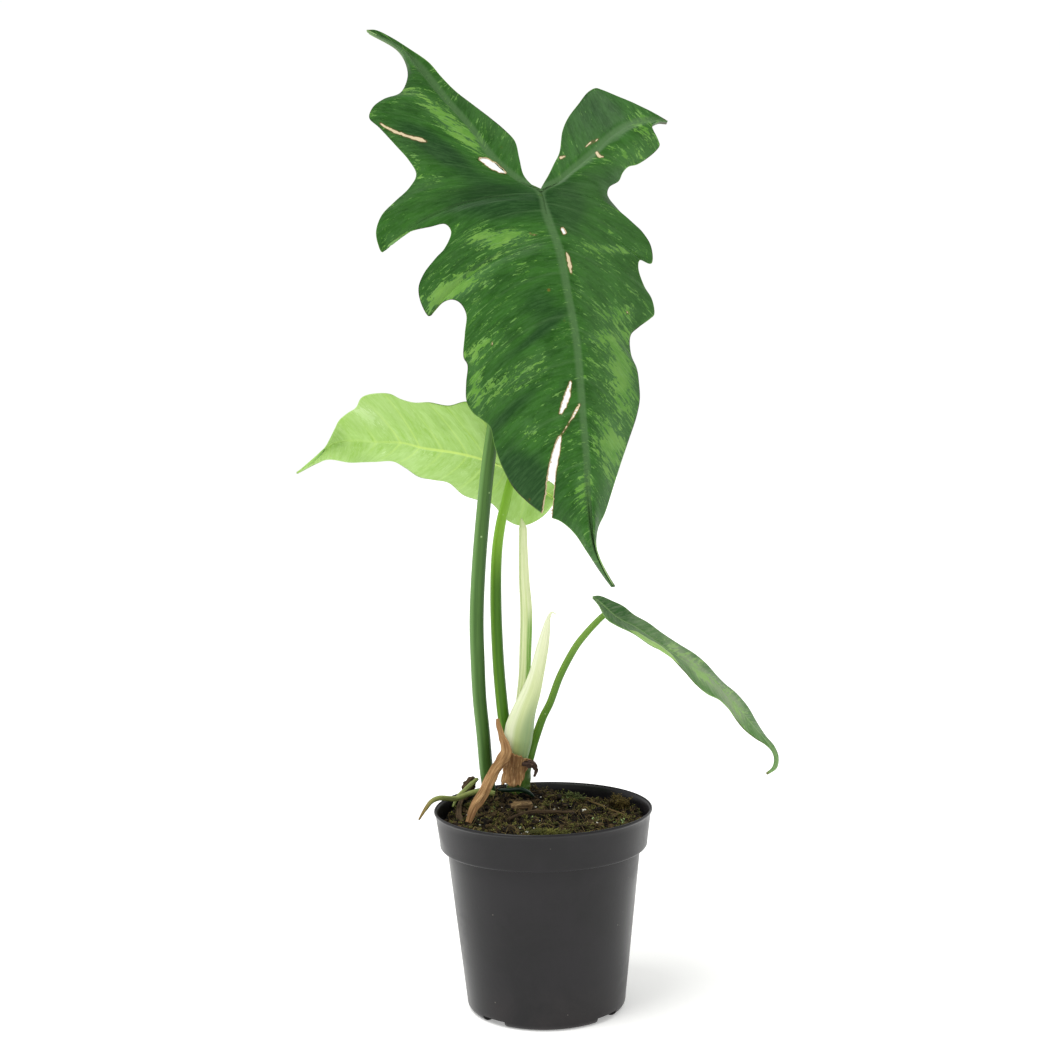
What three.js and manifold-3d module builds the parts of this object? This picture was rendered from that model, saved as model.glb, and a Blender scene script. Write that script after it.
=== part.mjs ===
// A variegated philodendron in a round black nursery pot: three leaves on long stalks, a sheath
// left standing, a new shoot, roots and dead scraps on the potting mix.
// Millimetres, +Z up, the front towards -Y. The origin is the middle of the pot's underside.
import * as THREE from "three";
import { mergeGeometries, mergeVertices } from "three/addons/utils/BufferGeometryUtils.js";
import Module from "manifold-3d";

const wasm = await Module();
wasm.setup();

// ---------------------------------------------------------------- driving dimensions
const GAP = 0.3; // clearance between pieces that touch

const POT_HEIGHT = 110.5;
const RIM_RADIUS = 60;
const BAND_HEIGHT = 20.8; // the deep collar below the rim
const BAND_TAPER = 3; // how far the band's foot stands in from the rim
const BODY_STEP = 7; // how far the body's top stands in from the rim
const BODY_TAPER = 9.2; // how far the base stands in from the body's top
const POT_WALL = 1.5;
const POT_FLOOR = 2;
const LIP_HEIGHT = 1.6;
const LIP_PROUD = 0.7;
const BASE_ROUND = 3.2;
const DRAIN_COUNT = 4;
const DRAIN_WIDTH = 15;
const DRAIN_HEIGHT = 4;
const DRAIN_DEPTH = 9;
const POT_SIDES = 56;

const SOIL_DROP = 8; // from the rim down to the level potting mix
const MOUND_HEIGHT = 11.5; // how much higher it is heaped round the plant
const MOUND_RADIUS = 24;

const PLANT_X = -13.5; // the stem stands behind and left of the middle of a pot with a 60 mm rim
const PLANT_Y = 27;
const STEM_RADIUS = 7.2;
const STEM_RISE = 33; // from the level mix up to the cut-off top
const STEM_SUNK = 9;
const FOOT = 3; // what is trimmed off the stalks that stand on the stem
const COLLAR_FOOT = 16; // from the level mix up to the lower edge of the dry sheath
const COLLAR_WALL = 1.4;

const LEAF_THICKNESS = 0.9;
const LARGE_STALK_RADIUS = 3.9;
const PALE_STALK_RADIUS = 3.3;
const DROOPING_STALK_RADIUS = 2.5;

const BAND_FOOT_RADIUS = RIM_RADIUS - BAND_TAPER;
const BODY_TOP_RADIUS = RIM_RADIUS - BODY_STEP;
const BASE_RADIUS = BODY_TOP_RADIUS - BODY_TAPER;
const BAND_BOTTOM = POT_HEIGHT - BAND_HEIGHT;
const SPREAD = RIM_RADIUS / 60; // the plant and its litter move in or out with the rim
const STEM_X = PLANT_X * SPREAD;
const STEM_Y = PLANT_Y * SPREAD;
const SOIL_LEVEL = POT_HEIGHT - SOIL_DROP;
const STEM_TOP = SOIL_LEVEL + STEM_RISE;
const FRONT = new THREE.Vector3(0, -1, 0);

// ---------------------------------------------------------------- materials
const finish = (color, roughness) => new THREE.MeshStandardMaterial({ color, roughness, metalness: 0 });
const BLACK_PLASTIC = finish(0x2f2e2f, 0.45);
const POTTING_MIX = finish(0x33291a, 0.95);
const DARK_LEAF = finish(0x3f6b35, 0.4);
const PALE_LEAF = finish(0xa6cf70, 0.45);
const YOUNG_LEAF = finish(0x6b9150, 0.4);
const GREEN_STALK = finish(0x4f7a3c, 0.4);
const BRIGHT_STALK = finish(0x6a9a33, 0.4);
const CREAM_SHEATH = finish(0xdde8a8, 0.5);
const WHITE_SHEATH = finish(0xe6efc0, 0.5);
const DRY_SHEATH = finish(0x96704a, 0.8);
const DEAD_SCRAP = finish(0x4a3626, 0.9);
const LIVE_ROOT = finish(0x7f8a45, 0.6);
const BARK = finish(0x8a6b42, 0.9);
const MOSS = finish(0x5d6a2a, 0.95);
const PERLITE = finish(0xe8e6dc, 0.9);

// ---------------------------------------------------------------- solids
// A point of the plant by its place in a 60 mm pot and its height above the level mix: it keeps its
// distance from the stem.
function above(x, y, rise) {
  return new THREE.Vector3(x - PLANT_X + STEM_X, y - PLANT_Y + STEM_Y, SOIL_LEVEL + rise);
}

// A closed three.js geometry as a solid that joins and cuts.
function solid(geometry) {
  const bare = geometry.index ? geometry.toNonIndexed() : geometry.clone();
  bare.deleteAttribute("normal");
  bare.deleteAttribute("uv");
  const merged = mergeVertices(bare, 1e-3);
  const triVerts = new Uint32Array(merged.index.array);
  const mesh = () =>
    new wasm.Mesh({ numProp: 3, vertProperties: merged.attributes.position.array, triVerts });
  const made = new wasm.Manifold(mesh());
  if (made.volume() > 0) return made;
  triVerts.reverse();
  return new wasm.Manifold(mesh());
}

// A solid as a geometry for a mesh.
function geometryOf(shape) {
  const { numProp, numVert, triVerts, vertProperties } = shape.getMesh();
  const places = new Float32Array(numVert * 3);
  for (let i = 0; i < numVert; i++) {
    places.set(vertProperties.subarray(i * numProp, i * numProp + 3), i * 3);
  }
  const geometry = new THREE.BufferGeometry();
  geometry.setAttribute("position", new THREE.BufferAttribute(places, 3));
  geometry.setIndex(new THREE.BufferAttribute(triVerts, 1));
  geometry.computeVertexNormals();
  return geometry;
}

// A turned solid from its profile of [radius, height] points.
function turned(profile, sides) {
  const points = profile.map(([radius, height]) => new THREE.Vector2(radius, height));
  return new THREE.LatheGeometry(points, sides).rotateX(Math.PI / 2);
}

// A stalk, root or strip: a turned rod whose rings are carried along a curve. The radii belong to the
// points of the route. `flat` squeezes the section along `facing`, and `grow` makes it fatter all round.
function limb(route, radii, { sides = 10, flat = 1, facing = FRONT, grow = 0, steps = 2 } = {}) {
  const curve = new THREE.CatmullRomCurve3(route);
  const last = (route.length - 1) * steps;
  const radiusAt = (ring) => {
    const i = Math.min(Math.floor(ring / steps), route.length - 2);
    return THREE.MathUtils.lerp(radii[i], radii[i + 1], ring / steps - i);
  };
  const profile = [new THREE.Vector2(0, 0)];
  for (let ring = 0; ring <= last; ring++) profile.push(new THREE.Vector2(1, ring));
  profile.push(new THREE.Vector2(0, last));
  const rod = new THREE.LatheGeometry(profile, sides);
  const place = rod.attributes.position;
  for (let i = 0; i < place.count; i++) {
    const ring = Math.round(place.getY(i));
    const along = curve.getTangent(ring / last);
    const side = new THREE.Vector3().crossVectors(along, facing).normalize();
    const face = new THREE.Vector3().crossVectors(side, along);
    const radius = radiusAt(ring);
    const centre = curve.getPoint(ring / last);
    if (grow && ring === 0) centre.addScaledVector(along, -grow);
    if (grow && ring === last) centre.addScaledVector(along, grow);
    centre.addScaledVector(side, place.getX(i) * (radius + grow));
    centre.addScaledVector(face, place.getZ(i) * (radius * flat + grow));
    place.setXYZ(i, centre.x, centre.y, centre.z);
  }
  return solid(rod);
}

// One half of a blade as an open sheet: each row runs along a vein from the rib to the margin. A margin
// point is [station, x, y, z], where the station is a place on the rib counted in the rib's own points.
// `arch` bends the veins towards the leaf's base and `swell` lifts them towards the viewer.
function halfBlade(rib, margin, stations, { turn, arch = 0, swell = 0, across = 3 }) {
  const ribCurve = new THREE.CatmullRomCurve3(rib.map((p) => new THREE.Vector3(...p)));
  const marginCurve = new THREE.CatmullRomCurve3(margin.map(([, x, y, z]) => new THREE.Vector3(x, y, z)));
  const rows = stations.filter((station) => station <= margin.at(-1)[0]);
  const places = [];
  for (const station of rows) {
    const next = Math.max(1, margin.findIndex(([key]) => key >= station));
    const [before, after] = [margin[next - 1][0], margin[next][0]];
    const share = (next - 1 + (station - before) / (after - before)) / (margin.length - 1);
    const inner = ribCurve.getPoint(station / (rib.length - 1));
    const outer = marginCurve.getPoint(share);
    const back = ribCurve.getTangent(station / (rib.length - 1));
    back.multiplyScalar(-arch * inner.distanceTo(outer));
    for (let column = 0; column <= across; column++) {
      const reach = column / across;
      const hump = 4 * reach * (1 - reach);
      const point = inner.clone().lerp(outer, reach);
      point.addScaledVector(back, hump);
      point.addScaledVector(FRONT, swell * hump);
      places.push(point.x, point.y, point.z);
    }
  }
  const sheet = new THREE.BufferGeometry();
  sheet.setAttribute("position", new THREE.Float32BufferAttribute(places, 3));
  const faces = [];
  for (let row = 0; row < rows.length - 1; row++) {
    for (let column = 0; column < across; column++) {
      const a = row * (across + 1) + column;
      const [b, c, d] = [a + 1, a + across + 2, a + across + 1];
      if (turn > 0) faces.push(a, b, c, a, c, d);
      else faces.push(a, c, b, a, d, c);
    }
  }
  sheet.setIndex(faces);
  return sheet;
}

// The stations of every margin point, so that both halves of a blade meet at the same points of the rib.
function stationsOf(...margins) {
  const all = margins.flatMap((margin) => margin.map(([station]) => station));
  return [...new Set(all)].sort((a, b) => a - b);
}

// A closed plate from the halves of a blade, reaching `front` and `back` to each side of the sheet.
function plate(halves, front, back) {
  const sheet = mergeVertices(mergeGeometries(halves), 1e-3);
  sheet.computeVertexNormals();
  const { position, normal } = sheet.attributes;
  const count = position.count;
  const places = [];
  for (const reach of [front, -back]) {
    for (let i = 0; i < count; i++) {
      places.push(
        position.getX(i) + normal.getX(i) * reach,
        position.getY(i) + normal.getY(i) * reach,
        position.getZ(i) + normal.getZ(i) * reach,
      );
    }
  }
  const faces = [];
  const free = new Map();
  const indices = sheet.index.array;
  for (let i = 0; i < indices.length; i += 3) {
    const [a, b, c] = indices.slice(i, i + 3);
    if (a === b || b === c || c === a) continue;
    faces.push(a, b, c, count + a, count + c, count + b);
    for (const [from, to] of [[a, b], [b, c], [c, a]]) {
      if (!free.delete(`${to} ${from}`)) free.set(`${from} ${to}`, [from, to]);
    }
  }
  for (const [from, to] of free.values()) {
    faces.push(to, from, count + from, to, count + from, count + to);
  }
  const closed = new THREE.BufferGeometry();
  closed.setAttribute("position", new THREE.Float32BufferAttribute(places, 3));
  closed.setIndex(faces);
  return closed;
}

// A blade hung at the top of its stalk, with the solid that trims the stalk where it meets the back.
function blade(halves, at) {
  halves.forEach((half) => half.translate(at.x, at.y, at.z));
  const half = LEAF_THICKNESS / 2;
  return { leaf: solid(plate(halves, half, half)), trim: solid(plate(halves, 5, half + GAP)) };
}

// ---------------------------------------------------------------- pot
function wallRadius(height) {
  if (height > BAND_BOTTOM) {
    const share = (height - BAND_BOTTOM) / BAND_HEIGHT;
    return THREE.MathUtils.lerp(BAND_FOOT_RADIUS, RIM_RADIUS - LIP_PROUD, share) - POT_WALL;
  }
  return THREE.MathUtils.lerp(BASE_RADIUS, BODY_TOP_RADIUS, height / BAND_BOTTOM) - POT_WALL;
}

function nurseryPot() {
  const shell = turned([
    [0, 0],
    [BASE_RADIUS - BASE_ROUND, 0],
    [BASE_RADIUS - BASE_ROUND * 0.29, BASE_ROUND * 0.29],
    [BASE_RADIUS + 0.4, BASE_ROUND],
    [BODY_TOP_RADIUS, BAND_BOTTOM],
    [BAND_FOOT_RADIUS - 1, BAND_BOTTOM + 0.3],
    [BAND_FOOT_RADIUS, BAND_BOTTOM + 1.5],
    [RIM_RADIUS - LIP_PROUD, POT_HEIGHT - LIP_HEIGHT],
    [RIM_RADIUS, POT_HEIGHT - LIP_HEIGHT + 0.4],
    [RIM_RADIUS, POT_HEIGHT - 0.4],
    [RIM_RADIUS - 0.5, POT_HEIGHT],
    [wallRadius(POT_HEIGHT), POT_HEIGHT],
    [wallRadius(BAND_BOTTOM + POT_WALL), BAND_BOTTOM + POT_WALL],
    [wallRadius(BAND_BOTTOM), BAND_BOTTOM - POT_WALL],
    [wallRadius(POT_FLOOR + 3), POT_FLOOR + 3],
    [wallRadius(0) - 3, POT_FLOOR],
    [0, POT_FLOOR],
  ], POT_SIDES);
  let pot = solid(shell);
  for (let i = 0; i < DRAIN_COUNT; i++) {
    const notch = new THREE.BoxGeometry(DRAIN_DEPTH, DRAIN_WIDTH, DRAIN_HEIGHT * 2);
    notch.translate(BASE_RADIUS + 1 - DRAIN_DEPTH / 2, 0, 0);
    notch.rotateZ((i + 0.5) * (2 * Math.PI / DRAIN_COUNT) + 0.06);
    pot = pot.subtract(solid(notch));
  }
  return pot;
}

// ---------------------------------------------------------------- potting mix
function soilRise(x, y) {
  const toStem = Math.hypot(x - STEM_X, y - STEM_Y);
  const mound = MOUND_HEIGHT * Math.exp(-((toStem / MOUND_RADIUS) ** 2));
  const lumps = 0.7 * Math.sin(x * 0.31 + 1.3) * Math.sin(y * 0.27) + 0.5 * Math.sin(x * 0.16 - y * 0.22);
  return mound + lumps;
}

function pottingMix() {
  const rings = 8;
  const bottom = POT_FLOOR + 3.4;
  const profile = [[0, bottom], [wallRadius(bottom) - GAP - 0.5, bottom]];
  profile.push([wallRadius(BAND_BOTTOM - POT_WALL) - GAP - 0.5, BAND_BOTTOM - POT_WALL - GAP]);
  profile.push([wallRadius(BAND_BOTTOM - POT_WALL) - GAP - 0.5, BAND_BOTTOM + POT_WALL + GAP]);
  profile.push([wallRadius(BAND_BOTTOM + POT_WALL) - GAP - 0.5, BAND_BOTTOM + POT_WALL + GAP]);
  const edge = wallRadius(SOIL_LEVEL) - GAP - 0.6;
  for (let ring = rings; ring >= 0; ring--) profile.push([edge * ring / rings, SOIL_LEVEL]);
  const mix = turned(profile, 32);
  const place = mix.attributes.position;
  for (let i = 0; i < place.count; i++) {
    if (place.getZ(i) < SOIL_LEVEL - 1e-3) continue;
    place.setZ(i, SOIL_LEVEL + soilRise(place.getX(i), place.getY(i)));
  }
  return solid(mix);
}

// A place on the mix, given for a 60 mm pot and spread with the rim.
function onSoil(x, y, rise) {
  const [across, deep] = [x * SPREAD, y * SPREAD];
  return new THREE.Vector3(across, deep, SOIL_LEVEL + soilRise(across, deep) + rise);
}

// ---------------------------------------------------------------- stem and stalks
const stemSpec = [
  [-STEM_SUNK, 4, 12, 18, STEM_RISE].map((rise) => above(PLANT_X, PLANT_Y, rise)),
  [STEM_RADIUS * 0.85, STEM_RADIUS * 0.95, STEM_RADIUS * 0.8, STEM_RADIUS, STEM_RADIUS * 0.9],
  { sides: 20 },
];

const LARGE_TOP = above(4.7, -26, 339.2);
const largeStalkSpec = [
  [above(-24, 32, -5), above(-29.5, 35, 6), above(-31.5, 34, 19), above(-33, 30, 43), above(-34.5, 26, 64),
    above(-35, 22, 86), above(-35, 18, 109), above(-33.5, 14, 134), above(-30.5, 8.5, 164),
    above(-26, 2, 199), above(-20.5, -4, 229), above(-10, -11, 268), above(-1, -16, 310),
    above(3, -19, 330), LARGE_TOP.clone().add(new THREE.Vector3(-0.5, 2, -1))],
  [1, 1, 1, 1, 1, 1.02, 1.02, 1, 0.98, 0.95, 0.9, 0.85, 0.8, 0.75, 0.6].map((r) => r * LARGE_STALK_RADIUS),
];

const PALE_TOP = above(-13.1, 26, 193);
const paleStalkSpec = [
  [above(-19.6, 30, STEM_RISE - FOOT), above(-20.6, 29.5, 45), above(-22, 29, 60), above(-23.5, 28, 83),
    above(-24.2, 26, 120), above(-23, 24.5, 147), above(-20.5, 23.5, 163), above(-17.5, 23.2, 175),
    above(-15, 23.5, 185), above(-13.4, 25.2, 191.5)],
  [1, 1, 1.02, 1, 0.97, 0.9, 0.85, 0.8, 0.72, 0.5].map((r) => r * PALE_STALK_RADIUS),
];

const DROOPING_TOP = above(33.3, 6, 120);
const droopingStalkSpec = [
  [above(-7, 28, STEM_RISE - FOOT), above(-4.4, 27.5, 38), above(-2, 26.5, 45), above(1, 25.5, 53),
    above(5, 24, 61), above(11, 21, 77), above(20, 17, 94), above(26, 14, 102), above(31, 10, 108),
    above(35, 7, 112.2), above(38.4, 4, 114.5)],
  [1.1, 1.15, 1.1, 1.05, 1, 0.97, 0.92, 0.88, 0.84, 0.8, 0.6].map((r) => r * DROOPING_STALK_RADIUS),
];

const cataphyllSpec = [
  [above(-12.5, 31.5, STEM_RISE - FOOT), above(-12.2, 30.5, 45), above(-11, 28, 60), above(-9, 25.5, 76),
    above(-8, 23, 93), above(-7.2, 21, 113), above(-8, 20, 132), above(-8.2, 19, 150),
    above(-8.2, 18.7, 160.5), above(-9, 18.6, 166)],
  [2.6, 3.1, 3.2, 3.3, 3.4, 3.4, 2.9, 2.4, 2.2, 0.5],
  { flat: 0.8 },
];

const shootSpec = [
  [above(-14.5, 22.5, STEM_RISE - FOOT), above(-13.3, 20.5, 41), above(-12, 19.5, 49), above(-9.5, 18, 58),
    above(-5, 16.5, 70), above(-1.8, 14.8, 81), above(1.2, 13.2, 94), above(3.6, 11.8, 105),
    above(5, 11, 111), above(6.9, 10.6, 114.2), above(9.4, 10.5, 113)],
  [6.4, 8, 8, 6.6, 5.2, 4, 3.3, 2.1, 1.2, 0.7, 0.4],
  { sides: 14, flat: 0.6 },
];

// ---------------------------------------------------------------- blades
// Points are measured from the top of the stalk. A rib starts at the tip of its basal lobe, passes the
// stalk and ends at the leaf's tip.
function largeBlade() {
  const midrib = [
    [0, 0, 0], [3, -4, -12], [9, -9, -30], [13, -12, -52], [17, -14, -77], [19, -16, -105],
    [21, -18, -135], [22, -20, -160], [24, -22, -182], [28, -23, -194], [33, -24, -204],
  ];
  const leftRib = [
    [-88, 2, 83], [-71, 5, 75], [-61, 6, 64], [-47, 6, 47], [-35, 5, 33], [-24, 4, 17],
    [-11, 2, 6], ...midrib,
  ];
  const rightRib = [
    [66, 6, 35], [58, 4, 36], [48, 2, 34], [37, 2, 28], [27, 2, 19], [17, 1, 11], [8, 0, 4], ...midrib,
  ];
  const leftMargin = [
    [0, -87, 2, 82], [0.9, -73, 5, 74], [1.6, -69, 7, 68], [2.3, -68, 8, 61], [3, -72, 9, 53],
    [3.7, -81, 10, 50], [4.4, -87, 11, 46], [4.8, -89, 12, 41], [5.1, -84, 12, 36], [5.5, -75, 12, 26],
    [5.9, -69, 12, 19], [6.2, -65, 11, 11], [6.4, -69, 11, 4], [6.6, -77, 12, -3], [6.8, -84, 12, -10],
    [7, -87, 12, -18], [7.1, -86, 11, -25], [7.2, -84, 10, -29], [7.3, -79, 9, -24], [7.4, -69, 6, -19],
    [7.5, -58, 3, -17], [7.6, -50, 1, -16], [7.7, -47, 0, -20], [7.9, -51, 1, -29], [8.1, -56, 2, -34],
    [8.3, -62, 4, -41], [8.45, -65, 6, -48], [8.6, -64, 7, -56], [8.75, -60, 8, -63], [8.85, -57, 6, -60],
    [8.95, -52, 3, -56], [9.1, -47, 1, -55], [9.25, -43, 0, -57], [9.45, -40, 0, -63], [9.75, -41, 0, -73],
    [10.1, -42, 2, -85], [10.25, -40, 1, -89], [10.5, -41, 2, -99], [10.8, -41, 4, -108],
    [11.1, -38, 6, -114], [11.4, -33, 8, -118], [11.7, -29, 9, -122], [12, -27, 8, -131],
    [12.4, -23, 6, -143], [12.8, -17, 2, -154], [13.2, -9, -3, -162], [13.6, -1, -8, -168],
    [13.9, 7, -12, -171], [14.3, 14, -16, -177], [15, 20, -19, -186], [16.4, 27, -22, -197],
    [17, 32, -24, -204],
  ];
  const rightMargin = [
    [0, 66, 6, 34], [0.5, 61, 5, 34], [0.9, 57, 4, 31], [1.6, 60, 4, 27], [2, 62, 4, 23], [2.3, 60, 5, 20],
    [3, 51, 8, 14], [3.7, 46, 10, 13], [4.4, 43, 11, 10], [4.8, 41, 12, 6], [5.5, 36, 13, 3],
    [6.2, 35, 14, -1], [6.6, 40, 15, -8], [6.8, 46, 16, -14], [7.2, 53, 17, -20], [7.5, 58, 18, -28],
    [7.7, 58, 17, -37], [7.9, 52, 17, -35], [8.1, 51, 17, -39], [8.45, 54, 17, -49], [8.75, 58, 17, -56],
    [9.1, 59, 16, -64], [9.25, 57, 15, -66], [9.45, 50, 13, -71], [9.75, 46, 11, -75], [10.1, 46, 10, -85],
    [10.5, 49, 9, -93], [10.8, 50, 8, -102], [11.1, 50, 6, -109], [11.4, 48, 4, -118], [12, 44, 2, -129],
    [12.4, 39, -3, -142], [13.2, 34, -8, -156], [13.6, 30, -12, -167], [14.3, 26, -16, -175],
    [15, 25, -19, -184], [15.6, 27, -20, -191], [16.4, 31, -23, -199], [17, 34, -24, -204],
  ];
  const leftLobe = [
    [0, -88, 2, 84], [0.5, -84, 3, 84], [0.9, -77, 5, 81], [1.6, -67, 7, 75], [2, -57, 8, 68],
    [2.3, -51, 9, 61], [3, -44, 12, 54], [3.7, -35, 13, 47], [4.4, -26, 13, 40], [4.8, -18, 12, 33],
    [5.5, -13, 10, 27], [5.9, -11, 7, 18], [6.2, -9, 4, 9], [6.6, -4, 1, 3], [7, 0, 0.5, 1],
  ];
  const rightLobe = [
    [0, 66, 6, 36], [0.5, 56, 8, 42], [0.9, 49, 11, 46], [1.6, 41, 14, 50], [2, 33, 17, 54],
    [2.3, 30, 18, 55],
    [3, 26, 18, 53], [3.7, 21, 17, 47], [4.4, 15, 14, 39], [4.8, 12, 11, 32], [5.5, 10, 6, 20],
    [5.9, 7, 4, 14], [6.2, 4, 2, 8], [6.6, 1, 1, 3], [7, 0, 0.5, 1],
  ];
  const stations = stationsOf(leftMargin, rightMargin, leftLobe, rightLobe);
  return blade([
    halfBlade(leftRib, leftMargin, stations, { turn: 1, arch: 0.1, swell: 4 }),
    halfBlade(rightRib, rightMargin, stations, { turn: -1, arch: 0.1, swell: 4 }),
    halfBlade(leftRib, leftLobe, stations, { turn: -1, across: 2 }),
    halfBlade(rightRib, rightLobe, stations, { turn: 1, across: 2 }),
  ], LARGE_TOP);
}

function paleBlade() {
  const midrib = [
    [0, 0, 0], [-16, -2, 6], [-31, -3, 10], [-49, -4, 13], [-60, -4, 16], [-76, -3, 17], [-90, -1, 18],
    [-102, 2, 15], [-111, 4, 8], [-121, 6, 0],
  ];
  const upperRib = [[20, -13, 18], [9, -6, 8], ...midrib];
  const lowerRib = [[23, 14, -18], [10, 7, -8], ...midrib];
  const upperMargin = [
    [0, 21, -14, 20], [0.4, 15, -18, 26], [0.9, 5, -22, 31], [1.4, -6, -24, 34], [1.9, -17, -26, 37],
    [2.3, -25, -26, 38], [2.8, -34, -24, 36], [3.6, -45, -22, 38], [4.1, -53, -21, 38], [4.6, -60, -20, 40],
    [5, -66, -20, 43], [5.7, -77, -18, 43], [6.2, -82, -16, 41], [6.7, -85, -14, 36], [7.2, -90, -11, 33],
    [7.8, -95, -9, 29], [8.3, -98, -6, 24], [8.8, -101, -2, 19], [9.3, -104, 0, 14], [9.8, -107, 2, 10],
    [10.4, -113, 4, 5], [11, -120.5, 5.5, 0.5],
  ];
  const lowerMargin = [
    [0, 23, 15, -20], [0.4, 17, 14, -27], [0.8, 9, 17, -32], [1.1, 3, 19, -33], [1.5, -4, 20, -30],
    [1.9, -13, 20, -20], [2.3, -21, 21, -18], [2.7, -29, 21, -15], [3.2, -37, 21, -8], [3.8, -46, 20, -6],
    [4.3, -54, 19, -4], [4.8, -61, 18, 1], [5.4, -68, 17, 5], [6.2, -78, 16, 5], [6.9, -85, 14, 5],
    [7.6, -92, 12, 5], [8.8, -104, 9, 7], [9.8, -110, 7, 5], [11, -121, 6.5, -0.5],
  ];
  const upperLobe = [
    [0, 21, -13, 19], [0.4, 20, -9, 11], [0.9, 14, -5, 6], [1.4, 8, -2, 3], [1.8, 3, -0.6, 1], [2, 1, 0, 0],
  ];
  const lowerLobe = [
    [0, 24, 14, -19], [0.4, 23, 9, -10], [0.9, 15, 5, -5], [1.4, 8, 2, -2.5], [1.8, 3, 0.6, -0.8],
    [2, 1, 0, 0],
  ];
  const stations = stationsOf(upperMargin, lowerMargin, upperLobe, lowerLobe);
  return blade([
    halfBlade(upperRib, upperMargin, stations, { turn: -1, arch: 0.05, swell: 3 }),
    halfBlade(lowerRib, lowerMargin, stations, { turn: 1, arch: 0.05, swell: 2 }),
    halfBlade(upperRib, upperLobe, stations, { turn: 1, across: 2 }),
    halfBlade(lowerRib, lowerLobe, stations, { turn: -1, across: 2 }),
  ], PALE_TOP);
}

function droopingBlade() {
  const rib = [
    [-4, 0, 2.6], [0, -1, 0], [9, -4, -8], [19, -8, -13], [29, -11, -20], [39, -15, -27], [51, -19, -35],
    [58, -21, -39], [65, -24, -47], [72, -26, -55], [77, -28, -61], [83.5, -30.5, -69], [88.6, -32, -75.5],
    [91.4, -32, -81], [90.6, -32, -86.5], [86.1, -32, -90],
  ];
  const farMargin = [
    [0, -4, 0.3, 3.2], [0.5, 0, 3, 3], [1, 7, 3, 0], [1.6, 13, 3, -3], [2.2, 19, 3, -8], [2.9, 26, 2, -12],
    [3.7, 34, 0, -18], [4.6, 43, -2, -24], [5.4, 51, -4, -29], [6.2, 57, -7, -34], [7, 63, -9, -41],
    [7.6, 67, -11, -45], [8.4, 72, -14, -49], [9.3, 78, -17, -56], [10.2, 83, -21, -65], [11, 86.8, -26, -71],
    [12, 90.4, -30, -75.2], [13, 92.6, -31, -80.8], [14, 91.6, -31.4, -87], [15, 86.5, -31.9, -90.4],
  ];
  const nearMargin = [
    [0, -4, -0.5, 2.2], [0.6, -1, -6, -1], [1.2, 3, -11, -8], [1.7, 8, -15, -11], [2.4, 17, -20, -15],
    [3.1, 26, -24, -21], [3.8, 34, -27, -25], [4.6, 43, -31, -34], [5.2, 49, -32, -41], [5.8, 55, -34, -46],
    [6.5, 61, -35, -49], [7.2, 66, -35, -54], [8, 70, -36, -60], [8.9, 74, -36, -65], [9.8, 80, -36, -70],
    [11, 85.5, -34, -73.8], [12, 88.8, -33, -77.6], [13, 90, -32.6, -81.6], [14, 89.2, -32.4, -86],
    [15, 85.7, -32.1, -89.6],
  ];
  const stations = stationsOf(farMargin, nearMargin);
  return blade([
    halfBlade(rib, farMargin, stations, { turn: -1 }),
    halfBlade(rib, nearMargin, stations, { turn: 1 }),
  ], DROOPING_TOP);
}

// ---------------------------------------------------------------- dead sheath, roots and scraps
// The dry sheath still wrapped round the stem: part of a ring, open at the right and the back.
function driedCollar() {
  const inner = STEM_RADIUS + GAP + 0.2;
  const outer = inner + COLLAR_WALL;
  const ring = new THREE.Shape();
  ring.absarc(0, 0, outer, Math.PI * 0.85, Math.PI * 1.82, false);
  ring.absarc(0, 0, inner, Math.PI * 1.82, Math.PI * 0.85, true);
  const height = STEM_RISE - COLLAR_FOOT - 1;
  const wall = new THREE.ExtrudeGeometry(ring, {
    depth: height, steps: 1, bevelEnabled: false, curveSegments: 12,
  });
  wall.translate(STEM_X, STEM_Y, SOIL_LEVEL + COLLAR_FOOT);
  return solid(wall);
}

const dryStripSpec = [
  [above(-24.4, 18, 54), above(-23.7, 17.5, 49.5), above(-22.4, 16, 45), above(-20.6, 14.4, 40.5),
    above(-20, 13.4, 36), above(-22.6, 12, 31.5), above(-25.9, 9, 27.5), above(-29, 6, 22.5),
    above(-32, 2, 17), above(-35, -1.5, 13), above(-38.3, -5.5, 8.5), onSoil(-41, -8.5, 1.6)],
  [0.9, 1.3, 1.5, 2.4, 3.1, 3, 2.8, 2.7, 2.7, 2.6, 2.5, 1.5],
  { flat: 0.26 },
];

const dryStubSpec = [
  [above(-11.2, 16.4, 29.3), above(-7.5, 16.6, 28.6), above(-4.6, 17.6, 27), above(-3.4, 18.4, 24),
    above(-4.6, 18.4, 20.5)],
  [1.4, 2.3, 2.1, 1.6, 0.8],
  { flat: 0.3 },
];

const rimCrossing = (angle, out, over) => new THREE.Vector3(
  (RIM_RADIUS + out) * Math.cos(angle), (RIM_RADIUS + out) * Math.sin(angle), POT_HEIGHT + over);
const longRootSpec = [
  [above(-27, 21.5, 10.5), above(-34.5, 20.5, 12.4), above(-42, 17, 11.6), above(-48.3, 12.5, 10.4),
    rimCrossing(3.055, -2.3, 4.6), rimCrossing(3.109, 1.4, 3.6), rimCrossing(3.142, 4.5, 0.2),
    rimCrossing(3.17, 8.4, -5.6)],
  [1.6, 1.6, 1.5, 1.5, 1.4, 1.3, 1.1, 0.5],
  { sides: 8, facing: new THREE.Vector3(0, 0, 1) },
];
const shortRootSpec = [
  [above(-36.8, 31.5, 17), above(-39.8, 28.5, 15), onSoil(-43.9, 25, 9.5), onSoil(-48, 21, 7),
    onSoil(-50.5, 17.5, 2.5)],
  [0.9, 1.4, 1.4, 1.2, 0.6],
  { sides: 8, facing: new THREE.Vector3(0, 0, 1) },
];
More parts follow.
